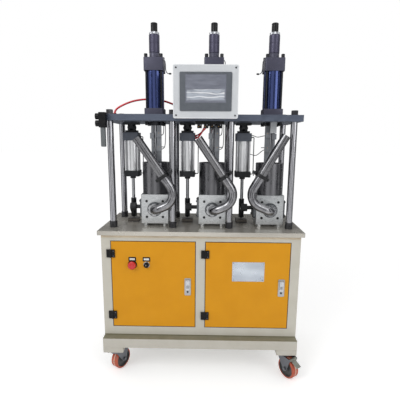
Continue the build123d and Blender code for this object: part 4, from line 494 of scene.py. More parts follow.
class Palette:
    """Every finish on the machine."""

    BEIGE = Finish(
        "beige_powder_coat", (198, 195, 184), (192, 188, 176), (0.4, 0.54), SPRAYED, 900.0, 0.0004,
        wear=0.08, worn=(168, 164, 152), dust=0.12, edge=0.0012,
    )
    BASE = Finish(
        "beige_base_coat", (193, 190, 181), (186, 182, 171), (0.42, 0.58), SPRAYED, 850.0, 0.0004,
        wear=0.12, worn=(150, 146, 134), dust=0.2, edge=0.0015,
    )
    DOOR = Finish(
        "yellow_door_coat", (216, 149, 17), (211, 144, 14), (0.34, 0.48), SPRAYED, 900.0, 0.0004,
        wear=0.06, worn=(190, 132, 40), dust=0.04, edge=0.0012, gloss=0.25,
    )
    # Painted shade: the dark line round each door's front face, for the shade in the gap round the door.
    DOOR_EDGE_SHADE = Finish(
        "door_edge_painted_shade", (96, 72, 34), (74, 56, 28), (0.5, 0.62), SPRAYED, 700.0, 0.0003,
    )
    TABLE = Finish(
        "ground_table_steel", (208, 204, 194), (174, 169, 160), (0.16, 0.3), BRUSHED, 16.0, 0.0001,
        metallic=0.55, stretch=(0.1, 0.6, 0.6), worn=(124, 117, 107), dust=0.05, smudge_scale=2.5,
        edge=0.0008,
    )
    PLATE = Finish(
        "slate_plate_coat", (96, 103, 118), (80, 87, 102), (0.3, 0.46), BRUSHED, 300.0, 0.0003,
        metallic=0.6, stretch=(0.05, 1.0, 1.0), wear=0.1, worn=(150, 154, 160), dust=0.15, edge=0.0012,
    )
    CHROME = Finish(
        "chromed_posts", (186, 186, 190), (150, 150, 155), (0.1, 0.2), BRUSHED, 160.0, 0.00004,
        metallic=1.0, stretch=(1.0, 1.0, 0.03), wear=0.01, worn=(120, 120, 122),
    )
    ROD = Finish(
        "chromed_rods", (182, 183, 186), (148, 149, 153), (0.08, 0.18), BRUSHED, 300.0, 0.0001,
        metallic=1.0, stretch=(1.0, 1.0, 0.05),
    )
    BARREL = Finish(
        "polished_barrels", (126, 126, 129), (100, 100, 103), (0.24, 0.34), BRUSHED, 110.0, 0.00005,
        metallic=1.0, stretch=(1.0, 1.0, 0.04), wear=0.05, worn=(90, 90, 92),
    )
    MACHINED = Finish(
        "milled_blocks", (214, 216, 217), (180, 183, 185), (0.26, 0.46), BRUSHED, 150.0, 0.0005,
        metallic=0.9, stretch=(0.35, 1.0, 1.0), wear=0.12, worn=(112, 113, 114), smudge_scale=26.0,
        edge=0.0008,
    )
    COVER = Finish(
        "turned_covers", (112, 115, 118), (84, 87, 90), (0.24, 0.42), BRUSHED, 260.0, 0.0003,
        metallic=0.9, stretch=(1.0, 1.0, 0.2), wear=0.1, worn=(84, 85, 88), smudge_scale=22.0,
    )
    UNION = Finish(
        "bright_union_nut", (192, 193, 195), (160, 161, 164), (0.16, 0.3), BRUSHED, 300.0, 0.0002,
        metallic=1.0, stretch=(1.0, 0.2, 1.0), wear=0.06, worn=(110, 108, 106),
    )
    ELBOW = Finish(
        "polished_elbows", (174, 174, 177), (76, 76, 80), (0.1, 0.28), BRUSHED, 26.0, 0.0018,
        metallic=1.0, wear=0.04, worn=(96, 92, 88), smudge_scale=20.0,
    )
    TUBE = Finish(
        "ground_tubes", (136, 136, 138), (100, 100, 103), (0.16, 0.3), BRUSHED, 320.0, 0.0002,
        metallic=1.0, stretch=(0.25, 1.0, 0.25), wear=0.04, worn=(84, 82, 80),
    )
    BLACK = Finish(
        "black_oxide", (34, 35, 38), (48, 49, 52), (0.34, 0.52), CAST, 500.0, 0.0004, metallic=0.5,
        wear=0.1, worn=(104, 104, 106), dust=0.15,
    )
    CLAMP = Finish(
        "black_clamps", (34, 35, 37), (24, 25, 27), (0.3, 0.46), CAST, 420.0, 0.0004, metallic=0.4,
        wear=0.08, worn=(96, 96, 98), dust=0.05,
    )
    MOUNT = Finish(
        "black_cast_iron", (28, 30, 33), (42, 44, 48), (0.42, 0.58), CAST, 260.0, 0.0008, metallic=0.3,
        wear=0.08, worn=(90, 90, 92), dust=0.1, edge=0.001,
    )
    SLATE = Finish(
        "slate_caps", (92, 97, 107), (78, 83, 93), (0.32, 0.46), SPRAYED, 700.0, 0.0004, metallic=0.35,
        wear=0.09, worn=(140, 142, 146), dust=0.1,
    )
    LOW_CAP = Finish(
        "black_low_caps", (36, 38, 42), (27, 29, 32), (0.34, 0.5), CAST, 380.0, 0.0005, metallic=0.35,
        wear=0.08, worn=(98, 98, 102), dust=0.1,
    )
    AIR_CAP = Finish(
        "grey_violet_caps", (70, 70, 88), (60, 60, 76), (0.34, 0.48), SPRAYED, 700.0, 0.0004,
        metallic=0.3, wear=0.09, worn=(136, 136, 142), dust=0.12,
    )
    NOSE = Finish(
        "dark_noses", (60, 61, 66), (46, 47, 52), (0.3, 0.44), BRUSHED, 300.0, 0.0003, metallic=0.5,
        stretch=(1.0, 1.0, 0.2), wear=0.07, worn=(120, 120, 124),
    )
    TIE_BAR = Finish(
        "black_tie_bars", (44, 45, 48), (30, 31, 34), (0.26, 0.4), BRUSHED, 300.0, 0.0002,
        metallic=0.6, stretch=(1.0, 1.0, 0.06), wear=0.05, worn=(110, 110, 114),
    )
    SLEEVE = Finish(
        "violet_grey_sleeves", (72, 70, 90), (63, 61, 80), (0.28, 0.42), BRUSHED, 420.0, 0.0002,
        metallic=0.45, stretch=(1.0, 1.0, 0.06), wear=0.06, worn=(132, 131, 142),
    )
    RING = Finish(
        "knurled_rings", (184, 186, 190), (150, 152, 157), (0.22, 0.34), BRUSHED, 420.0, 0.0002,
        metallic=0.9, wear=0.06, worn=(110, 110, 114),
    )
    KNOB = Finish(
        "dark_grips", (18, 18, 20), (14, 14, 16), (0.28, 0.42), BRUSHED, 420.0, 0.0002, metallic=0.2,
        stretch=(1.0, 1.0, 0.1), wear=0.05, worn=(92, 92, 94), gloss=0.3,
    )
    NAVY = Finish(
        "navy_tubes", (58, 72, 124), (42, 54, 100), (0.12, 0.22), BRUSHED, 120.0, 0.0001,
        metallic=0.85, stretch=(1.0, 1.0, 0.05), wear=0.03, worn=(88, 98, 138), coat=0.4,
    )
    SILVER = Finish(
        "satin_barrels", (236, 237, 238), (212, 213, 215), (0.3, 0.4), CAST, 160.0, 0.00003,
        metallic=0.92, smudge_scale=18.0,
    )
    HMI = Finish(
        "panel_housing_coat", (206, 209, 212), (196, 199, 203), (0.34, 0.46), SPRAYED, 800.0, 0.0003,
        wear=0.05, worn=(176, 178, 182), dust=0.1, edge=0.0012,
    )
    # Paler than the housing: a painted highlight along the housing's edge.
    HMI_RIM_HIGHLIGHT = Finish(
        "pale_edge_highlight", (228, 230, 232), (216, 219, 222), (0.34, 0.44), SPRAYED, 800.0, 0.0003,
    )
    BEZEL = Finish(
        "bezel_plastic", (88, 93, 100), (80, 85, 92), (0.36, 0.48), CAST, 1200.0, 0.0003, wear=0.04,
        worn=(122, 126, 132), dust=0.05, edge=0.0012,
    )
    HOSE = Finish("red_hose", (222, 34, 50), (204, 24, 42), (0.2, 0.32), CAST, 300.0, 0.0002, coat=0.3)
    CABLE = Finish("grey_cable_jacket", (64, 66, 69), (50, 52, 55), (0.45, 0.6), CAST, 600.0, 0.0002)
    PLASTIC = Finish(
        "black_moulding", (15, 15, 17), (22, 22, 24), (0.3, 0.46), CAST, 900.0, 0.0003, wear=0.02,
        worn=(50, 50, 53), dust=0.02, edge=0.0008, gloss=0.2,
    )
    RAIL = Finish(
        "grey_sensor_rails", (148, 151, 156), (118, 122, 127), (0.28, 0.42), BRUSHED, 420.0, 0.0002,
        metallic=0.4, stretch=(1.0, 1.0, 0.05), wear=0.08, worn=(60, 62, 66), edge=0.0006,
    )
    ZINC = Finish(
        "zinc_pressings", (124, 126, 132), (96, 98, 104), (0.28, 0.44), CAST, 140.0, 0.0003,
        metallic=0.8, wear=0.08, worn=(150, 150, 150), dust=0.12, edge=0.001,
    )
    PEDAL = Finish(
        "bright_pedals", (158, 160, 150), (130, 132, 124), (0.28, 0.42), BRUSHED, 300.0, 0.0003,
        metallic=0.9, stretch=(0.1, 1.0, 1.0), wear=0.12, worn=(92, 92, 88), edge=0.001,
    )
    LATCH = Finish(
        "satin_latches", (204, 206, 209), (178, 181, 185), (0.22, 0.34), BRUSHED, 420.0, 0.0002,
        metallic=0.9, stretch=(1.0, 1.0, 0.05), wear=0.06, worn=(116, 116, 118), edge=0.0006,
    )
    # Brushed tone whose large light and dark patches are also a painted sheen.
    NAMEPLATE = Finish(
        "brushed_nameplate_with_painted_sheen", (214, 221, 229), (142, 150, 163), (0.26, 0.4), BRUSHED, 9.0, 0.0001,
        metallic=0.65, stretch=(0.7, 1.0, 1.6), wear=0.04, worn=(120, 124, 132),
    )
    BOLT = Finish(
        "bright_bolts", (176, 178, 180), (142, 144, 147), (0.2, 0.34), BRUSHED, 420.0, 0.0002,
        metallic=1.0, wear=0.06, worn=(104, 104, 106),
    )
    SCREW = Finish(
        "black_screws", (32, 32, 34), (46, 46, 48), (0.3, 0.46), CAST, 900.0, 0.0002, metallic=0.55,
        wear=0.06, worn=(104, 104, 106),
    )
    FITTING = Finish(
        "nickel_fittings", (160, 161, 162), (128, 129, 131), (0.22, 0.36), BRUSHED, 420.0, 0.0002,
        metallic=0.95, wear=0.05, worn=(100, 98, 94),
    )
    COLLAR = Finish(
        "dark_collar_steel", (72, 72, 75), (52, 52, 55), (0.24, 0.4), BRUSHED, 320.0, 0.0003,
        metallic=0.75, stretch=(1.0, 1.0, 0.12), wear=0.08, worn=(128, 128, 130), dust=0.05,
    )
    WHEEL_HUB = Finish(
        "wheel_hubs", (62, 62, 64), (76, 75, 74), (0.4, 0.56), CAST, 500.0, 0.0005, metallic=0.2,
        wear=0.08, worn=(110, 108, 104), dust=0.1,
    )
    RED = Finish(
        "red_button", (212, 30, 28), (190, 20, 20), (0.18, 0.3), CAST, 900.0, 0.0002, coat=0.4,
    )
    LEGEND = Finish("legend_plate", (226, 226, 222), (214, 214, 210), (0.3, 0.42), CAST, 900.0, 0.0002)
    GREY_GEAR = Finish(
        "grey_gear_moulding", (150, 152, 154), (138, 140, 142), (0.4, 0.55), CAST, 900.0, 0.0002,
    )
    DIAL = Finish(
        "gauge_dial", (236, 236, 232), (226, 226, 222), (0.25, 0.35), CAST, 900.0, 0.0001, coat=0.5,
    )
    # Painted shade: near-black for the inside of sockets, ports and the keyhole.
    RECESS_SHADE = Finish("painted_recess_shade", (12, 12, 13), (18, 18, 19), (0.6, 0.75), CAST, 900.0, 0.0002)
    # Black rubber of the door seals, which also stands as painted shade in the door gaps.
    GAP_SHADE_RUBBER = Finish("door_seal_rubber_and_gap_shade", (26, 26, 27), (36, 36, 37), (0.62, 0.78), CAST, 500.0, 0.0004)
    CLEAR_HOSE = Finish(
        "milky_air_pipe", (92, 95, 98), (74, 77, 80), (0.25, 0.36), CAST, 300.0, 0.0001, coat=0.3,
    )
    AMBER = Finish("amber_lamp", (236, 170, 40), (220, 150, 30), (0.2, 0.3), CAST, 900.0, 0.0001)
    GREEN = Finish("green_lamp", (60, 170, 90), (48, 150, 76), (0.2, 0.3), CAST, 900.0, 0.0001)


def show(name: str, data: bpy.types.ID) -> bpy.types.Object:
    """Puts a mesh, curve, lamp or camera into the scene as an object."""
    shown = bpy.data.objects.new(name, data)
    bpy.context.scene.collection.objects.link(shown)
    return shown


def centre_of(node: str) -> Vector:
    """Gives the middle of a CAD node's box."""
    low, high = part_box(node)
    return (low + high) / 2


def four_spots(middle: Flat, half: Flat) -> list[Flat]:
    """Gives the corners of a rectangle by its middle and half sizes."""
    return [(middle[0] + a * half[0], middle[1] + b * half[1]) for a in (-1, 1) for b in (-1, 1)]


def rounded_outline(width: float, height: float, radius: float) -> list[Flat]:
    """Gives the outline of a rectangle round 0, 0 with round corners, counter-clockwise."""
    outline: list[Flat] = []
    for quarter, (right, up) in enumerate(((1, 1), (-1, 1), (-1, -1), (1, -1))):
        middle = (right * (width / 2 - radius), up * (height / 2 - radius))
        for step in range(5):
            turn = math.pi / 2 * (quarter + step / 4)
            outline.append((middle[0] + radius * math.cos(turn), middle[1] + radius * math.sin(turn)))
    return outline


class Piece:
    """One mesh under construction: shapes are added to it, and it is then dressed and hung on a body."""

    POLE = 1e-7

    def __init__(self, name: str) -> None:
        """Starts an empty piece."""
        self.name = name
        self.mesh = bmesh.new()

    @staticmethod
    def _across(axis: Place) -> tuple[Vector, Vector, Vector]:
        """Gives three unit vectors: two across an axis, and the axis itself."""
        along = Vector(axis).normalized()
        first = Vector(Z_AXIS) if abs(along.z) < 0.9 else Vector(X_AXIS)
        side = along.cross(first).normalized()
        return side, along.cross(side).normalized(), along

    def _skin(self, lower: Sequence[bmesh.types.BMVert], upper: Sequence[bmesh.types.BMVert]) -> None:
        """Joins two rings of the same number of points with faces."""
        for step in range(len(lower)):
            after = (step + 1) % len(lower)
            self.mesh.faces.new([lower[step], lower[after], upper[after], upper[step]])

    def _ease(self, edges: Sequence[bmesh.types.BMEdge], width: float) -> None:
        """Rounds edges, unless the width is 0."""
        if width > 0.0:
            bmesh.ops.bevel(self.mesh, geom=edges, offset=width, segments=3, affect="EDGES", profile=0.6)

    def turned(
        self, profile: Sequence[Flat], origin: Place, axis: Place = Z_AXIS, steps: int = 40,
        closed: bool = False, ridge: float = 0.0,
    ) -> "Piece":
        """Adds a turned shape.

        Args:
            profile: Radius and height of each point, from one end to the other.
            origin: Where height 0 lies.
            axis: Direction of growing height.
            steps: Divisions round the axis.
            closed: Whether the profile is a loop, as for a tube's wall.
            ridge: How much lower every other step lies, as on a knurled rim.

        Returns:
            This piece.
        """
        side, across, along = self._across(axis)
        rings: list[list[bmesh.types.BMVert]] = []
        for radius, height in profile:
            centre = Vector(origin) + along * height
            if radius < self.POLE:
                rings.append([self.mesh.verts.new(centre)])
                continue
            ring = []
            for step in range(steps):
                turn = 2 * math.pi * step / steps
                arm = (side * math.cos(turn) + across * math.sin(turn)) * (radius - ridge * (step % 2))
                ring.append(self.mesh.verts.new(centre + arm))
            rings.append(ring)
        pairs = list(zip(rings, rings[1:]))
        if closed:
            pairs.append((rings[-1], rings[0]))
        for lower, upper in pairs:
            for step in range(steps):
                after = (step + 1) % steps
                spots = ((lower, step), (lower, after), (upper, after), (upper, step))
                unique = list(dict.fromkeys(ring[number % len(ring)] for ring, number in spots))
                if len(unique) > 2:
                    self.mesh.faces.new(unique)
        if not closed:
            for ring in (rings[0], rings[-1]):
                if len(ring) > 1:
                    self.mesh.faces.new(ring)
        return self

    def pressed(
        self, outline: Sequence[Flat], origin: Place, across: Place, normal: Place, depth: float,
        bevel: float = 0.0,
    ) -> "Piece":
        """Adds a flat outline drawn out along its normal, with its rims rounded if asked.

        Args:
            outline: Corners, as distances along across and along normal x across.
            origin: Where the outline's zero lies.
            across: Direction of the outline's first number.
            normal: Direction in which it is drawn out.
            depth: How far it is drawn out.
            bevel: Width of the rounded rims.

        Returns:
            This piece.
        """
        first, out, base = Vector(across).normalized(), Vector(normal).normalized(), Vector(origin)
        second = out.cross(first)
        lower = [self.mesh.verts.new(base + first * a + second * b) for a, b in outline]
        upper = [self.mesh.verts.new(v.co + out * depth) for v in lower]
        self.mesh.faces.new(lower)
        front = self.mesh.faces.new(upper)
        self._skin(lower, upper)
        self._ease(list(front.edges), bevel)
        return self

    def block(self, low: Place, high: Place, bevel: float = 0.0) -> "Piece":
        """Adds a box between two corners, with rounded edges if asked."""
        middle = [(a + b) / 2 for a, b in zip(low, high)]
        size = [b - a for a, b in zip(low, high)]
        place = Matrix.Translation(middle) @ Matrix.Diagonal((*size, 1.0))
        made = bmesh.ops.create_cube(self.mesh, size=1.0, matrix=place)
        self._ease(list({edge for vert in made["verts"] for edge in vert.link_edges}), bevel)
        return self

    def border(self, low: Place, high: Place, width: float, bevel: float) -> "Piece":
        """Adds four bars of a width along the inside of a box's outline in X and Z."""
        left, right = (low[0], low[0] + width), (high[0] - width, high[0])
        foot, head = (low[2], low[2] + width), (high[2] - width, high[2])
        long, tall = (low[0], high[0]), (low[2], high[2])
        for x, z in ((left, tall), (right, tall), (long, foot), (long, head)):
            self.block((x[0], low[1], z[0]), (x[1], high[1], z[1]), bevel)
        return self

    @staticmethod
    def _pipe_axis(corners: Sequence[Vector], bends: Sequence[float], arc_steps: int = 14) -> list[Vector]:
        """Gives the axis of a rigid bent pipe: straight runs with a tangent arc at each corner.

        Args:
            corners: Both ends, and where the straight runs' axes meet.
            bends: Bend radius at each inner corner.
            arc_steps: Divisions of each arc.

        Returns:
            Points along the axis.
        """
        axis = [corners[0]]
        for before, corner, after, radius in zip(corners, corners[1:], corners[2:], bends):
            back, out = (before - corner).normalized(), (after - corner).normalized()
            half = back.angle(out) / 2
            centre = corner + (back + out).normalized() * (radius / math.sin(half))
            start = corner + back * (radius / math.tan(half)) - centre
            end = corner + out * (radius / math.tan(half)) - centre
            hinge = start.cross(end).normalized()
            for step in range(arc_steps + 1):
                turn = Matrix.Rotation(start.angle(end) * step / arc_steps, 3, hinge)
                axis.append(centre + turn @ start)
        axis.append(corners[-1])
        return axis

    def bent(
        self, corners: Sequence[Vector], bends: Sequence[float], outer: float, bore: float, steps: int
    ) -> "Piece":
        """Adds a rigid pipe, or a rod where the bore is 0, bent at its inner corners.

        Args:
            corners: Both ends, and where the straight runs' axes meet.
            bends: Bend radius at each inner corner.
            outer: Outer radius.
            bore: Inner radius.
            steps: Divisions round it.

        Returns:
            This piece.
        """
        axis = self._pipe_axis(corners, bends)
        side = self._across(axis[1] - axis[0])[0]
        walls: dict[float, list[list[bmesh.types.BMVert]]] = {outer: []}
        if bore > 0.0:
            walls[bore] = []
        for number, centre in enumerate(axis):
            ahead = (axis[min(number + 1, len(axis) - 1)] - axis[max(number - 1, 0)]).normalized()
            side = (side - ahead * side.dot(ahead)).normalized()
            across = ahead.cross(side)
            spokes = [2 * math.pi * step / steps for step in range(steps)]
            arms = [side * math.cos(turn) + across * math.sin(turn) for turn in spokes]
            for radius, rings in walls.items():
                rings.append([self.mesh.verts.new(centre + arm * radius) for arm in arms])
        for rings in walls.values():
            for lower, upper in zip(rings, rings[1:]):
                self._skin(lower, upper)
        for end in (0, -1):
            if bore > 0.0:
                self._skin(walls[outer][end], walls[bore][end])
            else:
                self.mesh.faces.new(walls[outer][end])
        return self

    def rim(self, outer: Sequence[Flat], inner: Sequence[Flat], origin: Place, depth: float) -> "Piece":
        """Adds a flat rim that faces the front, between two outlines of as many corners."""
        across, out, base = Vector(X_AXIS), Vector(TO_FRONT), Vector(origin)
        up, rings = out.cross(across), []
        for outline, height in ((outer, 0.0), (outer, depth), (inner, depth), (inner, 0.0)):
            foot = [base + across * a + up * b + out * height for a, b in outline]
            rings.append([self.mesh.verts.new(spot) for spot in foot])
        for lower, upper in zip(rings, rings[1:] + rings[:1]):
            self._skin(lower, upper)
        return self

    def socket_screw(self, radius: float, depth: float, origin: Place, axis: Place) -> "Piece":
        """Adds a screw head with a chamfered rim and a socket in it."""
        socket, rim = radius * 0.52, min(0.0006, depth / 3)
        profile = [
            (radius, 0.0), (radius, depth - rim), (radius - rim, depth), (socket, depth),
            (socket, depth * 0.45), (0.0, depth * 0.45),
        ]
        return self.turned(profile, origin, axis, 24)

    def hang(
        self, shop: Paintshop, look: Finish | Material, *nodes: str, body: str = "machine",
        sharp: float = 34.0,
    ) -> bpy.types.Object:
        """Finishes the piece as an object that rides on a body.

        Args:
            shop: Where its material comes from.
            look: Its finish or its material.
            *nodes: CAD nodes that it stands for.
            body: The CAD body that carries it.
            sharp: Edges that turn by more than this many degrees stay sharp.

        Returns:
            The object.
        """
        bmesh.ops.recalc_face_normals(self.mesh, faces=self.mesh.faces)
        data = bpy.data.meshes.new(self.name)
        self.mesh.to_mesh(data)
        self.mesh.free()
        data.shade_smooth()
        data.set_sharp_from_angle(angle=math.radians(sharp))
        data.materials.append(shop.material_of(look))
        shown = show(self.name, data)
        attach(shown, body)
        if nodes:
            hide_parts(*nodes)
        LOG.info("piece %s rides on %s", self.name, body)
        return shown


@dataclass
class Studio:
    """Camera, pale floor, soft light and the dark cards that polished metal mirrors."""

    focal_px: float = 332.26
    image_px: float = 400.0
    sensor: float = 36.0
    place: Point = (0.0237, -2.1094, 1.4166)
    pitch: float = 9.76
    yaw: float = -0.877
    roll: float = 0.44
    floor_size: float = 80.0
    key_power: float = 62.0
    fill_power: float = 26.0
    card_table: tuple[tuple[Point, float, float, float, float], ...] = (
        ((0.0, 2.6, 1.2), 1.2, 5.2, 2.6, 0.1),
        ((-3.0, 0.9, 1.3), 1.3, 2.6, 3.4, 0.16),
        ((3.0, 0.9, 1.3), 1.3, 2.6, 3.4, 0.12),
        ((-1.9, -2.9, 1.4), 1.3, 1.1, 3.4, 0.14),
        ((1.0, -3.6, 1.4), 1.3, 0.9, 3.4, 0.16),
        ((3.2, -1.6, 1.3), 1.3, 1.2, 3.4, 0.1),
    )

    def camera(self) -> None:
        """Sets the camera at the photograph's angle."""
        data = bpy.data.cameras.new("camera")
        data.sensor_width = self.sensor
        data.lens = self.sensor * self.focal_px / self.image_px
        data.clip_end = 120.0
        pitch, yaw, roll = (math.radians(v) for v in (self.pitch, self.yaw, self.roll))
        ahead = Vector((math.sin(yaw) * math.cos(pitch), math.cos(yaw) * math.cos(pitch), -math.sin(pitch)))
        level = Vector((math.cos(yaw), -math.sin(yaw), 0.0))
        above = level.cross(ahead)
        right = level * math.cos(roll) + above * math.sin(roll)
        up = above * math.cos(roll) - level * math.sin(roll)
        turned = Matrix((right, up, -ahead)).transposed().to_4x4()
        shown = show("camera", data)
        shown.matrix_world = Matrix.Translation(self.place) @ turned
        bpy.context.scene.camera = shown

    @staticmethod
    def _sheet(name: str, width: float, height: float, material: Material) -> bpy.types.Object:
        """Makes a flat rectangle round the origin."""
        x, y = width / 2, height / 2
        data = bpy.data.meshes.new(name)
        data.from_pydata([(-x, -y, 0.0), (x, -y, 0.0), (x, y, 0.0), (-x, y, 0.0)], [], [(0, 1, 2, 3)])
        data.materials.append(material)
        return show(name, data)

    @staticmethod
    def _point(shown: bpy.types.Object, place: Point, height: float, front: str) -> None:
        """Moves an object to a place and turns its front to the machine's middle at a height."""
        shown.location = place
        aim = Vector((0.0, 0.0, height)) - Vector(place)
        shown.rotation_euler = aim.to_track_quat(front, "Y").to_euler()

    def floor(self) -> None:
        """Lays a pale floor that shows white to the camera and keeps the soft shadow."""
        material, graph, shader = Paintshop.blank("pale_floor")
        place = graph.add("TexCoord").outputs["Object"]
        tone = graph.span(graph.noise(place, 3.0, 3.0), 0.87, 0.9)
        far = graph.window(graph.vector("LENGTH", place), 0.9, 3.2, ease=True)
        seen = graph.seen_rays()
        colour = graph.mix(graph.math("MULTIPLY", seen, far), graph.grey(tone), (0, 0, 0, 1))
        lift = graph.math("MULTIPLY", seen, graph.span(far, 0.36, 1.0))
        graph.feed(shader, {
            "Base Color": colour, "Roughness": 0.85, "Specular IOR Level": 0.1,
            "Emission Color": graph.grey(lift), "Emission Strength": 1.0,
        })
        self._sheet("floor", self.floor_size, self.floor_size, material)

    def light(self) -> None:
        """Lights the scene softly and keeps the background white."""
        world = bpy.data.worlds.new("studio")
        bpy.context.scene.world = world
        world.use_nodes = True
        graph = Graph(world.node_tree)
        strength = graph.span(graph.seen_rays(), 0.66, 1.0)
        graph.feed(world.node_tree.nodes["Background"], {0: (1.0, 1.0, 1.0, 1.0), 1: strength})
        self._lamp("key", (-2.4, -3.0, 3.6), 1.1, 2.0, self.key_power)
        self._lamp("fill", (2.8, -2.6, 2.4), 1.0, 2.2, self.fill_power)

    def _lamp(self, name: str, place: Point, height: float, size: float, power: float) -> None:
        """Adds a square soft lamp that points at the machine's middle at a height."""
        data = bpy.data.lights.new(name, "AREA")
        data.size = size
        data.energy = power
        self._point(show(name, data), place, height, "-Z")

    def cards(self) -> None:
        """Hangs grey cards round the machine that only polished surfaces mirror."""
        for number, (place, aim, width, height, level) in enumerate(self.card_table):
            material, graph, shader = Paintshop.blank(f"card_grey_{number}")
            cloud = graph.noise(graph.add("TexCoord").outputs["Object"], 1.4, 2.0)
            low = (level * 0.6, level * 0.62, level * 0.66, 1.0)
            high = (level * 1.5, level * 1.52, level * 1.58, 1.0)
            graph.feed(shader, {
                "Base Color": (0.0, 0.0, 0.0, 1.0), "Specular IOR Level": 0.0,
                "Emission Color": graph.mix(cloud, low, high), "Emission Strength": 1.0,
            })
            shown = self._sheet(f"card_{number}", width, height, material)
            self._point(shown, place, aim, "Z")
            shown.visible_camera = False
            shown.visible_diffuse = False
            shown.visible_shadow = False
            shown.visible_transmission = False


@dataclass(frozen=True)
class Line:
    """A kind of hose or lead: its radius, its finish and the CAD node that it stands for."""

    radius: float
    finish: Finish
    node: str


class Cords:
    """Air hoses and leads that leave one fitting and end in another, or in a plug."""

    RED = Line(0.006, Palette.HOSE, "air_hoses")
    SUPPLY = Line(0.005, Palette.HOSE, "air_hoses")
    LEAD = Line(0.0022, Palette.CABLE, "sensor_cables")
    RED_ROUTE = (
        (-0.552, 0.045, 1.596), (-0.552, 0.045, 1.618), (-0.498, 0.0504, 1.6503), (-0.4435, 0.0549, 1.6715),
        (-0.3892, 0.0579, 1.6825), (-0.335, 0.059, 1.686), (-0.2808, 0.0579, 1.6825),
        (-0.2265, 0.0549, 1.6715), (-0.1722, 0.0504, 1.6503), (-0.118, 0.045, 1.636), (-0.118, 0.045, 1.614),
    )
    SUPPLY_ENDS = ((-0.0067, 1.4443, 0.0195, 0.173), (0.0051, 1.4607, 0.0325, 0.18))
    CROSS_ROUTES = (
        (
            (0.379, -0.084, 1.4607), (0.369, -0.084, 1.4607), (0.3382, -0.0454, 1.4507),
            (0.3175, -0.0067, 1.4647), (0.3075, -0.0067, 1.4647),
        ),
        (
            (0.379, -0.084, 1.3777), (0.369, -0.084, 1.3777), (0.3355, -0.0385, 1.3377),
            (0.312, 0.007, 1.3477), (0.302, 0.007, 1.3477),
        ),
    )
    SENSOR_LENGTHS = (0.087, 0.174, 0.087, 0.174, 0.114, 0.137)
    CAP_STARTS = ((-0.225, 1), (0.125, 1), (0.361, -1))
    CAP_RUN = ((0.0, 1.89), (0.01, 1.89), (0.01, 1.815), (0.03, 1.815))
    CAP_LENGTH = 0.094

    def lay(self, shop: Paintshop) -> None:
        self._run(shop, "red_hose", self.RED, self.RED_ROUTE, 0.495)
        for number, (y, z, x, length) in enumerate(self.SUPPLY_ENDS, 1):
            route = ((-0.0425, y, z), (-0.0205, y, z), (x, -0.113, 1.512), (x, -0.135, 1.512))
            self._run(shop, f"supply_hose_{number}", self.SUPPLY, route, length)
        routes = [*self._rising_routes(), *self.CROSS_ROUTES]
        for number, (route, length) in enumerate(zip(routes, self.SENSOR_LENGTHS), 1):
            self._run(shop, f"sensor_lead_{number}", self.LEAD, route, length)
        for number, (x, hand) in enumerate(self.CAP_STARTS, 1):
            route = [(x + hand * out, -0.065, z) for out, z in self.CAP_RUN]
            plug = self._plug(shop, number, route[-1], float(hand))
            self._run(shop, f"cap_lead_{number}", self.LEAD, route, self.CAP_LENGTH, plug)

    @staticmethod
    def _rising_routes() -> list[tuple[Point, ...]]:
        """Gives the routes of the four sensor leads that rise to the plate."""
        routes = []
        for x in (-0.243, 0.107):
            for z, shift in ((1.4607, 0.015), (1.3777, 0.025)):
                up = x + shift
                routes.append((
                    (x, -0.084, z), (x + 0.01, -0.084, z), (up, -0.079, z + 0.02), (up, -0.074, 1.518),
                    (up, -0.074, 1.538),
                ))
        return routes

    @staticmethod
    def _plug(shop: Paintshop, number: int, spot: Point, hand: float) -> bpy.types.Object:
        """Turns the small round plug at the free end of a cap lead."""
        profile = [
            (0.0, 0.0), (0.0038, 0.0), (0.005, 0.002), (0.005, 0.009), (0.0042, 0.0095), (0.0042, 0.0135),
            (0.0, 0.014),
        ]
        plug = Piece(f"cap_plug_{number}").turned(profile, spot, (hand, 0.0, 0.0), 24)
        return plug.hang(shop, Palette.PLASTIC, "sensor_cables")

    @staticmethod
    def _run(
        shop: Paintshop, name: str, line: Line, route: Sequence[Point], length: float,
        *plugs: bpy.types.Object,
    ) -> None:
        """Makes one hose or lead as a smooth open spline and logs its real length.

        Args:
            shop: Where its material comes from.
            name: The piece's name.
            line: What kind of hose or lead it is.
            route: The points that steer the spline.
            length: Its real length.
            *plugs: The pieces at its far end. Not used.
        """
        data = bpy.data.curves.new(name, "CURVE")
        data.dimensions = "3D"
        data.bevel_depth = line.radius
        data.bevel_resolution = 5
        data.use_fill_caps = True
        spline = data.splines.new("NURBS")
        spline.points.add(len(route) - 1)
        for knot, spot in zip(spline.points, route):
            knot.co = (*spot, 1.0)
        spline.order_u = 3
        spline.use_endpoint_u = True
        spline.resolution_u = 10
        data.materials.append(shop.mix_in(line.finish))
        shown = show(name, data)
        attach(shown, "machine")
        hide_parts(line.node)
        LOG.info("cord %s, %.0f mm long", name, length * 1000)


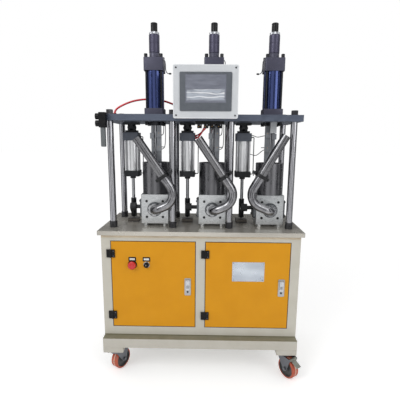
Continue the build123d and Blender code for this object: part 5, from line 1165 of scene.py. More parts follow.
@dataclass
class Cabinet:
    """Base, cabinet, table top, door seals that also stand for the shade in the door gaps, and the gear inside.
    """

    front: float = -0.24
    opening_low: float = 0.3055
    opening_high: float = 0.8485
    openings: tuple[Flat, Flat] = ((-0.53, -0.027), (0.027, 0.53))
    seal_width: float = 0.0022

    def dress(self, shop: Paintshop) -> None:
        """Coats the sheet metal, with painted shade on the base's ledge and along the cabinet's foot, and adds
        seals, gear and weld beads.
        """
        low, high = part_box("base_frame")
        left, right = low.x - 0.1, high.x + 0.1
        # Painted shade: the top face of the base's ledge, under the cabinet's front, is coloured a dark olive.
        painted_ledge_shade = Zone(
            (left, low.y - 0.1, high.z - 0.002), (right, high.y + 0.1, high.z + 0.1), (118, 114, 88), 0.55,
        )
        shop.coat(Palette.BASE.zoned("base_with_painted_ledge_shade", painted_ledge_shade), "base_frame")
        low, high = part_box("cabinet_frame")
        left, right = low.x - 0.1, high.x + 0.1
        # Painted shade: the foot zone darkens the bottom of the cabinet's front to a dull olive. The head zone
        # gives a warmer, lighter band along its top.
        foot = Zone(
            (left, -0.3, low.z - 0.01), (right, -0.2, low.z + 0.007), (112, 107, 76), 0.5, fade=0.005,
        )
        head = Zone(
            (left, -0.3, high.z - 0.024), (right, -0.2, high.z + 0.01), (214, 198, 172), 0.45, fade=0.012,
        )
        shop.coat(Palette.BEIGE.zoned("beige_cabinet_coat_with_painted_foot_shade", foot, head), "cabinet_frame")
        shop.coat(Palette.BEIGE, "cabinet_panels")
        shop.coat(Palette.TABLE, "table_top")
        # Black rubber seal strips in the door gaps, dark enough to also be the painted shade in those gaps.
        seals = Piece("door_gap_shade_seals")
        for left, right in self.openings:
            low_corner = (left, self.front + 0.0004, self.opening_low)
            seals.border(low_corner, (right, self.front + 0.014, self.opening_high), self.seal_width, 0.0004)
        seals.hang(shop, Palette.GAP_SHADE_RUBBER)
        self._gear(shop)
        self._weld_beads(shop)

    @staticmethod
    def _weld_beads(shop: Paintshop) -> None:
        """Welds a bead along the corner pads under the base."""
        beads = Piece("pad_weld_beads")
        bead = [(0.0, -0.0016), (0.0022, -0.001), (0.0026, 0.0), (0.0022, 0.001), (0.0, 0.0016)]
        for x, y in four_spots((0.0, 0.0), (0.524, 0.2844)):
            for step in range(14):
                beads.turned(bead, (x - 0.056 + 0.0086 * step, y, 0.1902), X_AXIS, 10)
        beads.hang(shop, Palette.BASE)

    @staticmethod
    def _gear(shop: Paintshop) -> None:
        """Colours the mounting plate and adds lamps and terminals to the modules."""
        low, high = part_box("control_panel")
        y = high.y
        plate = Zone((low.x, y - 0.0232, low.z), (high.x, y + 0.001, high.z), (196, 197, 196), 0.45, 0.1)
        rails = Zone((low.x, y - 0.0312, low.z), (high.x, y - 0.0226, high.z), (170, 172, 176), 0.35, 0.9)
        shop.coat(Palette.GREY_GEAR.zoned("gear_and_plate", plate, rails), "control_panel")
        middle, face = (low.x + high.x) / 2, low.y
        lamps, terminals = Piece("gear_lamps"), Piece("gear_terminals")
        lens = [(0.0022, 0.0), (0.0018, 0.0012), (0.0, 0.0014)]
        for row, z in enumerate((0.645, 0.475)):
            for step in range(7):
                x = middle - 0.14 + 0.034 * step
                terminals.block((x, face - 0.0005, z), (x + 0.012, face + 0.004, z + 0.008), 0.0008)
                if row == 0 or step % 2:
                    lamps.turned(lens, (x, face, z + 0.03), TO_FRONT, 12)
        terminals.hang(shop, Palette.BLACK)
        lamps.hang(shop, Palette.GREEN)


@dataclass
class Door:
    """One door of the cabinet with the hardware fixed to it."""

    side: str
    left_edge: float
    width: float = 0.498
    low: float = 0.308
    high: float = 0.846
    face: float = -0.24
    rim: float = 0.002
    hinge_screw: float = 0.0028
    plate_middle: Point = (0.2835, -0.2412, 0.6665)
    plate_size: Flat = (0.19, 0.12)

    @property
    def body(self) -> str:
        """The body that the door rides on."""
        return f"{self.side}_door"

    def dress(self, shop: Paintshop) -> None:
        """Coats the pan, its hinges and latch, and adds a line of painted shade round its edge, screws and
        plates.
        """
        shop.coat(Palette.DOOR, f"door_{self.side}")
        latch_low, latch_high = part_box(f"latch_handle_{self.side}")
        x = (latch_low.x + latch_high.x) / 2
        zones = [Zone((x - 0.021, -0.3, 0.5), (x + 0.021, -0.2395, 0.66), (176, 178, 180), 0.28, 0.85)]
        if self.side == "right":
            zones.append(Zone((0.186, -0.3, 0.605), (0.381, -0.2395, 0.729), (178, 188, 202), 0.3, 0.6))
        hardware = f"door_hardware_{self.side}"
        shop.coat(Palette.PLASTIC.zoned(hardware, *zones), hardware)
        # Painted shade: a thin dark line round the door's front face.
        rim = Piece(f"door_edge_shade_{self.side}")
        corner = (self.left_edge + self.width, self.face + 0.002, self.high)
        rim.border((self.left_edge, self.face - 0.0003, self.low), corner, self.rim, 0.0002)
        rim.hang(shop, Palette.DOOR_EDGE_SHADE, body=self.body)
        self._hinge_screws(shop)
        self._latch(shop, x, latch_low)
        if self.side == "right":
            self._nameplate(shop)

    def _nameplate(self, shop: Paintshop) -> None:
        """Folds a thin rim round the bare nameplate and rivets its corners."""
        middle, (width, height) = self.plate_middle, self.plate_size
        outer = rounded_outline(width, height, 0.004)
        inner = rounded_outline(width - 0.005, height - 0.005, 0.003)
        Piece("nameplate_rim").rim(outer, inner, middle, 0.0006).hang(shop, Palette.LATCH, body=self.body)
        # The face's large light and dark patches are brushed tone and painted sheen.
        face = Piece("nameplate_face").pressed(inner, middle, X_AXIS, TO_FRONT, 0.0003)
        face.hang(shop, Palette.NAMEPLATE, body=self.body)
        rivets = Piece("nameplate_rivets")
        dome = [(0.0026, 0.0), (0.0024, 0.0006), (0.0014, 0.0011), (0.0, 0.0013)]
        half = (width / 2 - 0.008, height / 2 - 0.008)
        for x, z in four_spots((middle[0], middle[2]), half):
            rivets.turned(dome, (x, middle[1], z), TO_FRONT, 16)
        rivets.hang(shop, Palette.SCREW, body=self.body)

    def _hinge_screws(self, shop: Paintshop) -> None:
        """Puts two countersunk screws in each hinge leaf on the door."""
        low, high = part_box(f"door_hardware_{self.side}")
        screws = Piece(f"hinge_screws_{self.side}")
        radius, socket = self.hinge_screw, self.hinge_screw * 0.5
        profile = [(radius, 0.0), (radius, 0.0003), (socket, 0.0005), (socket, 0.0001), (0.0, 0.0001)]
        for height in (low.z + 0.024, high.z - 0.024):
            for shift in (-0.015, 0.015):
                screws.turned(profile, (low.x + 0.0215, -0.247, height + shift), TO_FRONT, 18)
        screws.hang(shop, Palette.ZINC, body=self.body)

    def _latch(self, shop: Paintshop, x: float, low: Vector) -> None:
        """Adds the key barrel, the keyhole as a slot of painted shade and the paddle's grip ribs.

        Args:
            shop: Where the materials come from.
            x: The latch's middle along the door.
            low: Lowest corner of the paddle.
        """
        shop.coat(Palette.LATCH, f"latch_handle_{self.side}")
        key = low.z - 0.0125
        rim = [(0.0052, 0.0), (0.0052, 0.0008), (0.0044, 0.0012), (0.0, 0.0012)]
        barrel = Piece(f"latch_barrel_{self.side}").turned(rim, (x, -0.246, key), TO_FRONT, 24)
        barrel.hang(shop, Palette.BLACK, body=self.body)
        # Painted shade: a near-black slot for the keyhole.
        slot = Piece(f"latch_keyway_{self.side}")
        slot.block((x - 0.0006, -0.2473, key - 0.003), (x + 0.0006, -0.2471, key + 0.003))
        slot.hang(shop, Palette.RECESS_SHADE, body=self.body)
        grip = Piece(f"latch_grip_ribs_{self.side}")
        for step in range(5):
            z = low.z + 0.012 + 0.004 * step
            grip.block((x - 0.009, low.y - 0.0006, z), (x + 0.009, low.y + 0.0004, z + 0.0016), 0.0004)
        grip.hang(shop, Palette.LATCH, body=f"{self.side}_latch")


@dataclass
class OperatorPanel:
    """The touch panel in front of the top plate."""

    screw_inset: float = 0.016
    middle: float = 0.0215
    face: float = -0.2385
    width: float = 0.355
    height: float = 0.281
    rim: float = 0.0045
    # Where the display's painted pale reflection lies, its colour and the screen's top roughness.
    film: Zone = Zone((-0.087, -0.262, 1.64), (0.129, -0.23, 1.706), (200, 206, 214), 0.28, fade=0.012)

    def dress(self, shop: Paintshop) -> None:
        """Coats the housing, bezel and display, and adds a rim with a painted highlight and the screw recesses.
        """
        shop.coat(Palette.HMI, "hmi_housing")
        shop.coat(Palette.BEZEL, "hmi_bezel")
        shop.coat(shop.screen("filmed_display", self.film), "hmi_screen")
        low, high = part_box("hmi_housing")
        screws, inset = Piece("panel_screws"), self.screw_inset
        profile = [
            (0.0046, 0.0), (0.0046, 0.0012), (0.003, 0.0022), (0.0014, 0.0022), (0.0014, 0.0008),
            (0.0, 0.0008),
        ]
        for x in (low.x + inset, high.x - inset):
            for z in (low.z + inset, high.z - inset):
                screws.turned(profile, (x, -0.24, z), TO_FRONT, 24)
        screws.hang(shop, Palette.BLACK)
        # A thin raised rim, coloured paler than the housing as a painted highlight on its edge.
        outer = rounded_outline(self.width, self.height, 0.009)
        inner = rounded_outline(self.width - 2 * self.rim, self.height - 2 * self.rim, 0.006)
        middle = (self.middle, self.face, high.z - self.height / 2)
        Piece("panel_highlight_rim").rim(outer, inner, middle, 0.0009).hang(shop, Palette.HMI_RIM_HIGHLIGHT)


@dataclass
class PostFrame:
    """Posts, collars, nuts and the plate on top."""

    columns: tuple[float, ...] = (-0.53, -0.17, 0.17, 0.53)
    rows: Flat = (-0.15, 0.134)
    post_radius: float = 0.019
    table: float = 0.91
    plate_low: float = 1.538
    plate_high: float = 1.574
    collar_radius: float = 0.0225
    collar_height: float = 0.038
    washer_radius: float = 0.023
    nut_flats: float = 0.034

    def dress(self, shop: Paintshop) -> None:
        """Coats the plate, turns the posts and fits their collars, washers and nuts."""
        shop.coat(Palette.PLATE, "top_plate")
        spots = [(x, y) for x in self.columns for y in self.rows]
        posts = Piece("round_posts")
        radius, length = self.post_radius, self.plate_low - self.table
        profile = [
            (radius - 0.001, 0.0), (radius, 0.001), (radius, length - 0.001), (radius - 0.001, length),
        ]
        for x, y in spots:
            posts.turned(profile, (x, y, self.table), Z_AXIS, 56)
        posts.hang(shop, Palette.CHROME, "guide_posts")
        self._fasteners(shop, spots)

    def _fasteners(self, shop: Paintshop, spots: Sequence[Flat]) -> None:
        """Builds clamp collars at the feet and washers with hexagon nuts on the plate."""
        parts, sockets = Piece("post_collars_and_nuts"), Piece("collar_sockets")
        inner, outer, height = self.post_radius + 0.0001, self.collar_radius, self.collar_height
        rim, reach = self.washer_radius, self.nut_flats / math.sqrt(3)
        ring = [
            (inner, 0.0), (outer, 0.0), (outer, height - 0.0015), (outer - 0.0015, height), (inner, height),
        ]
        washer = [
            (0.0, 0.0), (rim - 0.0006, 0.0), (rim, 0.0006), (rim, 0.0034), (rim - 0.0006, 0.004),
            (0.0, 0.004),
        ]
        socket = [
            (0.0042, 0.0), (0.0042, 0.0011), (0.0036, 0.0014), (0.0022, 0.0014), (0.0022, 0.0004),
            (0.0, 0.0004),
        ]
        nut = [(reach * math.cos(math.pi * k / 3), reach * math.sin(math.pi * k / 3)) for k in range(6)]
        for x, y in spots:
            parts.turned(ring, (x, y, self.table), Z_AXIS, 48, closed=True)
            parts.turned(washer, (x, y, self.plate_high), Z_AXIS, 40)
            parts.pressed(nut, (x, y, self.plate_high + 0.004), Y_AXIS, Z_AXIS, 0.024, 0.0016)
            front = math.copysign(1.0, y)
            spot = (x, y + front * (outer - 0.0008), self.table + height / 2)
            sockets.turned(socket, spot, (0.0, front, 0.0), 16)
        parts.hang(shop, Palette.COLLAR, "post_fasteners")
        # The collar sockets are painted shade: near-black inside the screw sockets.
        sockets.hang(shop, Palette.RECESS_SHADE)


@dataclass
class AirCylinder:
    """The moving line of one adjustable-stroke air cylinder: its pistons, rod and stroke adjuster."""

    number: int
    x: float
    tube_low: float = 1.616
    rod_radius: float = 0.015
    piston_low: float = 1.11
    piston_radius: float = 0.0742
    line_top: float = 2.0713
    bore: float = 0.0095
    sleeve_low: float = 1.9323
    sleeve_radius: float = 0.031
    sleeve_height: float = 0.1
    ring_radius: float = 0.029
    ring_height: float = 0.013
    knob_radius: float = 0.0195
    knob_height: float = 0.052

    @property
    def foot(self) -> Point:
        """Where the line's axis meets the floor."""
        return (self.x, HEAD_Y, 0.0)

    def dress(self, shop: Paintshop) -> None:
        """Turns metering piston, rod, switch dog, air piston and upper rod in one line, and the adjuster."""
        low, rod, big, seat = self.piston_low, self.rod_radius, self.piston_radius, self.tube_low + 0.008
        profile = [
            (big - 0.001, low), (big, low + 0.001), (big, low + 0.0125), (big - 0.002, low + 0.0125),
            (big - 0.002, low + 0.0175), (big, low + 0.0175), (big, low + 0.029), (big - 0.001, low + 0.03),
            (rod, low + 0.03), (rod, low + 0.235), (0.0195, low + 0.235), (0.02, low + 0.2355),
            (0.02, low + 0.2505), (0.0195, low + 0.251), (rod, low + 0.251), (rod, seat), (0.0497, seat),
            (0.0497, seat + 0.024), (0.009, seat + 0.024), (0.009, self.line_top),
        ]
        name = f"piston_line_{self.number}"
        line = Piece(name).turned(profile, self.foot, Z_AXIS, 48)
        finish = Palette.ROD.zoned(name, Zone((-2.0, -2.0, 1.0), (2.0, 2.0, 1.1405), (66, 66, 68), 0.4, 0.3))
        moving = f"dosing_piston_{self.number}"
        line.hang(shop, finish, moving, body=moving)
        self._adjuster(shop)

    def _adjuster(self, shop: Paintshop) -> None:
        """Turns the sleeve and the knob, and knurls the lock ring between them."""
        low, radius, bore, rim = self.sleeve_low, self.sleeve_radius, self.bore, self.ring_radius
        top, middle, neck = low + self.sleeve_height, low + self.sleeve_height / 2, radius - 0.0012
        seat = top + self.ring_height
        end, grip = seat + self.knob_height, self.knob_radius
        sleeve = [
            (bore, low), (neck, low), (radius, low + 0.0012), (radius, middle), (neck, middle),
            (neck, middle + 0.004), (radius, middle + 0.004), (radius, top - 0.0012), (neck, top),
            (bore, top),
        ]
        ring = [
            (bore, top), (rim - 0.001, top), (rim, top + 0.001), (rim, seat - 0.001), (rim - 0.001, seat),
            (bore, seat),
        ]
        knob = [
            (0.0, seat), (grip - 0.0008, seat), (grip, seat + 0.0008), (grip, end - 0.012),
            (grip - 0.0012, end - 0.011), (grip - 0.0012, end - 0.009), (grip, end - 0.008),
            (grip, end - 0.002), (grip - 0.002, end), (0.006, end), (0.006, end - 0.003), (0.0, end - 0.003),
        ]
        node = f"stroke_adjuster_{self.number}"
        for name, profile, finish, steps, ridge, sharp in (
            ("sleeve", sleeve, Palette.SLEEVE, 56, 0.0, 34.0),
            ("lock_ring", ring, Palette.RING, 120, 0.0006, 20.0),
            ("knob", knob, Palette.KNOB, 56, 0.0, 34.0),
        ):
            piece = Piece(f"adjuster_{name}_{self.number}")
            piece.turned(profile, self.foot, Z_AXIS, steps, ridge=ridge)
            piece.hang(shop, finish, node, body=node, sharp=sharp)


@dataclass
class CylinderHeads:
    """Tubes, caps and tie rods of the three air cylinders."""

    cap: float = 0.114
    corner: float = 0.008
    spread: float = 0.044
    nose_low: float = 1.518
    plate_low: float = 1.538
    plate_high: float = 1.574
    low_cap: float = 0.042
    high_cap_low: float = 1.828
    high_cap: float = 0.072

    @property
    def top(self) -> float:
        """Height of the upper caps' top."""
        return self.high_cap_low + self.high_cap

    def dress(self, shop: Paintshop) -> None:
        """Turns the painted tubes, builds their caps and the tie rods with round, socketed nuts."""
        tubes = Piece("painted_air_tubes")
        low, high = self.plate_high + self.low_cap, self.high_cap_low
        wall = [(0.05, low), (0.054, low), (0.054, high), (0.05, high)]
        for x, _ in HEADS:
            tubes.turned(wall, (x, HEAD_Y, 0.0), Z_AXIS, 72, closed=True)
        tubes.hang(shop, Palette.NAVY, "air_cylinder_tubes")
        self._caps(shop)
        rods = Piece("air_cylinder_tie_bars")
        low, seat, top = self.nose_low, self.plate_low, self.top
        profile = [
            (0.0, low), (0.01, low), (0.011, low + 0.001), (0.011, seat), (0.005, seat), (0.005, top),
            (0.01, top), (0.01, top + 0.0188), (0.0088, top + 0.02), (0.0045, top + 0.02),
            (0.0045, top + 0.014), (0.0, top + 0.014),
        ]
        for middle, _ in HEADS:
            for x, y in four_spots((middle, HEAD_Y), (self.spread, self.spread)):
                rods.turned(profile, (x, y, 0.0), Z_AXIS, 28)
        rods.hang(shop, Palette.TIE_BAR, "air_cylinder_tie_rods")

    def _caps(self, shop: Paintshop) -> None:
        """Builds bevelled caps with the nose under the plate and the neck on top."""
        caps, noses = Piece("air_cylinder_heads"), Piece("air_cylinder_noses")
        ports, y = Piece("air_cylinder_ports"), HEAD_Y
        outline = rounded_outline(self.cap, self.cap, self.corner)
        neck = [(0.03, 0.0), (0.03, 0.03), (0.0288, 0.032), (0.0092, 0.032)]
        nose = [(0.0152, 0.0), (0.0285, 0.0), (0.029, 0.0005), (0.029, 0.056), (0.0152, 0.056)]
        nut = [
            (0.0291, 0.0), (0.037, 0.0), (0.038, 0.001), (0.038, 0.019), (0.037, 0.02), (0.0291, 0.02),
        ]
        plug = [(0.007, -0.002), (0.007, 0.0), (0.0052, 0.0), (0.0046, -0.0014), (0.0, -0.0014)]
        for x, _ in HEADS:
            caps.pressed(outline, (x, y, self.plate_high), X_AXIS, Z_AXIS, self.low_cap, 0.0012)
            caps.pressed(outline, (x, y, self.high_cap_low), X_AXIS, Z_AXIS, self.high_cap, 0.0016)
            caps.turned(neck, (x, y, self.top), Z_AXIS, 56)
            noses.turned(nose, (x, y, self.nose_low), Z_AXIS, 56, closed=True)
            noses.turned(nut, (x, y, self.nose_low), Z_AXIS, 96, closed=True, ridge=0.0008)
            for height in (self.plate_high + self.low_cap / 2, self.high_cap_low + self.high_cap / 2):
                ports.turned(plug, (x + self.cap / 2 + 0.0001, y, height), X_AXIS, 20)
        caps.hang(shop, Palette.AIR_CAP, "air_cylinder_caps")
        noses.hang(shop, Palette.NOSE, "air_cylinder_caps")
        # The ports are painted shade: near-black in the caps' port holes.
        ports.hang(shop, Palette.RECESS_SHADE)


@dataclass
class DosingUnit:
    """One metering barrel with its valve, elbow, clamp and filling tube."""

    x: float
    hand: int
    axis: float = 1.0165
    plane: float = -0.202
    front: float = -0.125
    flange: float = 0.012
    reach: float = 0.158
    rise: float = 0.068
    bends: Flat = (0.048, 0.08)
    radius: float = 0.0254
    bore: float = 0.0234
    ferrule: float = 0.032
    ferrule_depth: float = 0.005
    joint: float = 0.168
    gasket: float = 0.0015
    tube_length: float = 0.264
    ring_radius: float = 0.04
    ring_width: float = 0.02

    @property
    def lean(self) -> float:
        """The filling tube's lean from the upright."""
        return math.radians(34.5 if self.hand > 0 else 30.0)

    @property
    def corner(self) -> Vector:
        """Where the axes of the elbow's two runs meet."""
        return Vector((self.x + self.hand * self.reach, self.plane, self.axis + self.rise))

    @property
    def up(self) -> Vector:
        """Unit vector up the filling tube."""
        return Vector((-self.hand * math.sin(self.lean), 0.0, math.cos(self.lean)))

    def barrel(self, barrels: Piece) -> None:
        """Turns the open-topped metering barrel with eased rims."""
        low, high, outer, inner = 1.106, 1.298, 0.0825, 0.0745
        profile = [
            (inner, low), (outer - 0.0006, low), (outer, low + 0.0006), (outer, high - 0.0012),
            (outer - 0.0012, high), (inner + 0.001, high), (inner, high - 0.001),
        ]
        barrels.turned(profile, (self.x, HEAD_Y, 0.0), Z_AXIS, 88, closed=True)

    def elbow(self, elbows: Piece) -> None:
        """Bends the discharge pipe and adds the ferrule at its upper end."""
        end = self.joint - self.gasket / 2
        start, turn = (Vector((self.x, y, self.axis)) for y in (self.front - self.flange, self.plane))
        corners = [start, turn, self.corner, self.corner + self.up * end]
        elbows.bent(corners, self.bends, self.radius, self.bore, 44)
        self._ferrule(elbows, self.corner + self.up * (end - self.ferrule_depth))

    def _ferrule(self, piece: Piece, start: Vector) -> None:
        """Adds one clamp ferrule that starts at a point of the pipe's axis."""
        outer, depth = self.ferrule, self.ferrule_depth
        profile = [
            (self.radius - 0.0005, 0.0), (outer - 0.001, 0.0), (outer, 0.001), (outer, depth - 0.0004),
            (outer - 0.0004, depth), (self.bore, depth),
        ]
        piece.turned(profile, start, self.up, 48, closed=True)

    def tube(self, tubes: Piece) -> None:
        """Turns the straight filling tube with its ferrule and open end."""
        start = self.corner + self.up * (self.joint + self.gasket / 2)
        length, outer, inner = self.tube_length, self.radius, self.bore
        profile = [
            (inner, 0.0), (outer, 0.0), (outer, length - 0.0006), (outer - 0.0006, length),
            (inner + 0.0006, length), (inner, length - 0.0006),
        ]
        tubes.turned(profile, start, self.up, 56, closed=True)
        self._ferrule(tubes, start)

    def clamp(self, rings: Piece, bolts: Piece) -> None:
        """Builds the clamp's ring and lugs, and the bolt with its wing nut.

        Args:
            rings: The piece that takes ring, gasket and lugs.
            bolts: The piece that takes hinge pin, bolt and wing nut.
        """
        up, ahead = self.up, Vector(TO_FRONT)
        out = Vector((self.hand * math.cos(self.lean), 0.0, math.sin(self.lean)))
        middle = self.corner + up * self.joint
        outer, width, seat = self.ring_radius, self.ring_width, self.ferrule + 0.0004
        ring = [
            (seat, 0.0), (outer - 0.003, 0.0), (outer, 0.003), (outer, width - 0.003), (outer - 0.003, width),
            (seat, width),
        ]
        rings.turned(ring, middle - up * (width / 2), up, 56, closed=True)
        half = self.gasket / 2
        gasket = [(self.bore, -half), (self.ferrule, -half), (self.ferrule, half), (self.bore, half)]
        rings.turned(gasket, middle, up, 48, closed=True)
        for reach, size, gap, depth in ((0.0435, 0.024, 0.002, 0.013), (-0.0405, 0.0185, 0.001, 0.009)):
            lug = rounded_outline(size, width - 0.002, 0.004)
            for start in (gap, -gap - depth):
                rings.pressed(lug, middle + out * reach + ahead * start, out, TO_FRONT, depth, 0.001)
        self._wing_bolt(bolts, middle, out, up)

    def _wing_bolt(self, bolts: Piece, middle: Vector, out: Vector, up: Vector) -> None:
        """Adds a clamp's hinge pin, its bolt and the wing nut.

        Args:
            bolts: The piece that takes them.
            middle: The clamp's middle.
            out: Unit vector from the middle to the bolt.
            up: Unit vector up the pipe.
        """
        ahead, bolt = Vector(TO_FRONT), middle + out * 0.0475
        head, hub = bolt - ahead * 0.02, bolt + ahead * 0.0155
        pin = [(0.0, 0.0), (0.0034, 0.0), (0.0034, 0.0212), (0.0, 0.0212)]
        bolts.turned(pin, middle - out * 0.0435 - ahead * 0.0106, TO_FRONT, 20)
        bolts.turned([(0.0, 0.0), (0.007, 0.0), (0.007, 0.005), (0.0, 0.005)], head, TO_FRONT, 6)
        bolts.turned([(0.0, 0.0), (0.004, 0.0), (0.004, 0.051), (0.0, 0.051)], head, TO_FRONT, 20)
        cone = [
            (0.0, 0.0), (0.0095, 0.0), (0.0095, 0.0015), (0.0078, 0.002), (0.0078, 0.0065), (0.0062, 0.016),
            (0.0, 0.016),
        ]
        bolts.turned(cone, hub, TO_FRONT, 24)
        wing = [
            (0.004, 0.008), (0.01, 0.01), (0.0165, 0.0145), (0.02, 0.0195), (0.0188, 0.0235),
            (0.0155, 0.0232), (0.01, 0.0185), (0.004, 0.0155),
        ]
        for side in (-1.0, 1.0):
            outline = [(a * side, b * self.hand) for a, b in wing]
            bolts.pressed(outline, hub - out * 0.0022, up, out, 0.0044, 0.001)

    def flange_and_nut(self, plates: Piece, nuts: Piece) -> None:
        """Turns the front flange and the slotted union nut on it."""
        disc = [(0.017, 0.0), (0.044, 0.0), (0.044, 0.0105), (0.0425, 0.012), (0.017, 0.012)]
        plates.turned(disc, (self.x, self.front, self.axis), TO_FRONT, 64, closed=True)
        base = (self.x, self.front - self.flange, self.axis)
        nut = [(0.0257, 0.0), (0.0325, 0.0), (0.0325, 0.0142), (0.0317, 0.015), (0.0257, 0.015)]
        nuts.turned(nut, base, TO_FRONT, 56, closed=True)
        for step in range(6):
            turn = math.radians(60 * step + 30)
            arc = [turn - 0.395 + 0.79 * k / 6 for k in range(7)]
            outline = [(0.037 * math.cos(a), 0.037 * math.sin(a)) for a in arc]
            outline += [(0.0322 * math.cos(a), 0.0322 * math.sin(a)) for a in reversed(arc)]
            nuts.pressed(outline, base, X_AXIS, TO_FRONT, 0.015, 0.0008)

    def side_covers(self, plates: Piece, screws: Piece) -> None:
        """Builds the plates on both sides of the valve, with their screws and those of the flange."""
        outline = rounded_outline(0.112, 0.112, 0.006)
        for side in (-1.0, 1.0):
            x, out = self.x + side * 0.083, (side, 0.0, 0.0)
            plates.pressed(outline, (x, HEAD_Y, self.axis), Y_AXIS, out, 0.012, 0.001)
            for y, z in four_spots((HEAD_Y, self.axis), (0.045, 0.045)):
                screws.socket_screw(0.006, 0.005, (x + side * 0.012, y, z), out)
        for x, z in four_spots((self.x, self.axis), (0.049, 0.049)):
            screws.socket_screw(0.0075, 0.004, (x, self.front, z), TO_FRONT)


class Dosing:
    """The three dosing units under the plate and the air cylinders on it."""

    PARTS = (
        ("metering_barrels", Palette.BARREL, "metering_cylinders"),
        ("bent_elbows", Palette.ELBOW, "discharge_elbows"),
        ("inclined_tubes", Palette.TUBE, "filling_tubes"),
        ("clamp_rings", Palette.CLAMP, "pipe_clamps"),
        ("clamp_bolts", Palette.BLACK, "pipe_clamps"),
        ("valve_plates", Palette.COVER, "valve_covers"),
        ("union_nuts", Palette.UNION, "valve_covers"),
        ("valve_screws", Palette.SCREW, "valve_covers"),
    )

    def dress(self, shop: Paintshop) -> None:
        """Builds barrels, pipes, clamps and covers, and coats the valve blocks."""
        made = [Piece(name) for name, _, _ in self.PARTS]
        barrels, elbows, tubes, rings, bolts, plates, nuts, screws = made
        for x, hand in HEADS:
            unit = DosingUnit(x, hand)
            unit.barrel(barrels)
            unit.elbow(elbows)
            unit.tube(tubes)
            unit.clamp(rings, bolts)
            unit.flange_and_nut(plates, nuts)
            unit.side_covers(plates, screws)
        for piece, (_, finish, node) in zip(made, self.PARTS):
            piece.hang(shop, finish, node)
        shop.coat(Palette.MACHINED, "valve_bodies")
        for number, (x, _) in enumerate(HEADS, 1):
            shop.coat(Palette.MOUNT, f"valve_rotor_{number}")
            AirCylinder(number, x).dress(shop)
        CylinderHeads().dress(shop)


@dataclass
class Actuators:
    """The air cylinders that turn the valves."""

    low_cap_low: float = 1.205
    low_cap: float = 0.036
    barrel_low: float = 1.241
    barrel_high: float = 1.428
    high_cap: float = 0.049
    cap: float = 0.095
    corner: float = 0.006
    spread: Flat = (0.038, 0.038)

    def dress(self, shop: Paintshop) -> None:
        """Builds barrels and caps, and coats mounts and rods."""
        self._barrels(shop)
        self._caps(shop)
        low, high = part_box("actuator_mounts")
        corner = (high.x + 0.1, high.y + 0.1, 0.936)
        foot = Zone((low.x - 0.1, low.y - 0.1, 0.909), corner, (96, 90, 84), 0.42, 0.4, 0.01)
        shop.coat(Palette.MOUNT.zoned("mounts_and_stops", foot), "actuator_mounts")
        fork = Zone((-2.0, -2.0, 0.9), (2.0, 2.0, 1.0622), (30, 32, 35), 0.45, 0.4)
        rods = [f"actuator_rod_{number}" for number in (1, 2, 3)]
        shop.coat(Palette.ROD.zoned("actuator_rod_line", fork), *rods)

    def _barrels(self, shop: Paintshop) -> None:
        """Turns the bright barrels and their tie rods."""
        barrels = Piece("bright_actuator_barrels")
        low, high = self.barrel_low, self.barrel_high
        wall = [(0.039, low), (0.042, low), (0.042, high), (0.039, high)]
        rod = [(0.0, low), (0.004, low), (0.004, high), (0.0, high)]
        for middle in ACTUATORS:
            barrels.turned(wall, (middle, ACTUATOR_Y, 0.0), Z_AXIS, 72, closed=True)
            for x, y in four_spots((middle, ACTUATOR_Y), self.spread):
                barrels.turned(rod, (x, y, 0.0), Z_AXIS, 20)
        barrels.hang(shop, Palette.SILVER, "actuator_barrels")

    def _caps(self, shop: Paintshop) -> None:
        """Builds bevelled caps, the rod gland, the screws and the speed-control fittings."""
        upper, lower = Piece("actuator_upper_caps"), Piece("actuator_lower_caps")
        fittings, screws = Piece("speed_control_fittings"), Piece("actuator_cap_screws")
        outline = rounded_outline(self.cap, self.cap, self.corner)
        foot, seat = self.low_cap_low, self.barrel_high
        gland = [(0.0102, 0.0), (0.017, 0.0), (0.018, 0.001), (0.018, 0.0155), (0.0102, 0.0155)]
        fitting = [
            (0.006, 0.0), (0.006, 0.003), (0.0048, 0.0036), (0.0048, 0.0052), (0.0056, 0.0058),
            (0.0056, 0.0078), (0.0, 0.008),
        ]
        for middle in ACTUATORS:
            lower.pressed(outline, (middle, ACTUATOR_Y, foot), X_AXIS, Z_AXIS, self.low_cap, 0.001)
            lower.turned(gland, (middle, ACTUATOR_Y, foot - 0.015), Z_AXIS, 40, closed=True)
            upper.pressed(outline, (middle, ACTUATOR_Y, seat), X_AXIS, Z_AXIS, self.high_cap, 0.0012)
            for z in (foot + self.low_cap / 2, seat + self.high_cap / 2):
                fittings.turned(fitting, (middle + self.cap / 2, ACTUATOR_Y, z), X_AXIS, 20)
            for x, y in four_spots((middle, ACTUATOR_Y), self.spread):
                screws.socket_screw(0.0052, 0.0012, (x, y, foot), (0.0, 0.0, -1.0))
        upper.hang(shop, Palette.SLATE, "actuator_caps")
        lower.hang(shop, Palette.LOW_CAP, "actuator_caps")
        fittings.hang(shop, Palette.FITTING, "actuator_caps")
        screws.hang(shop, Palette.SCREW)


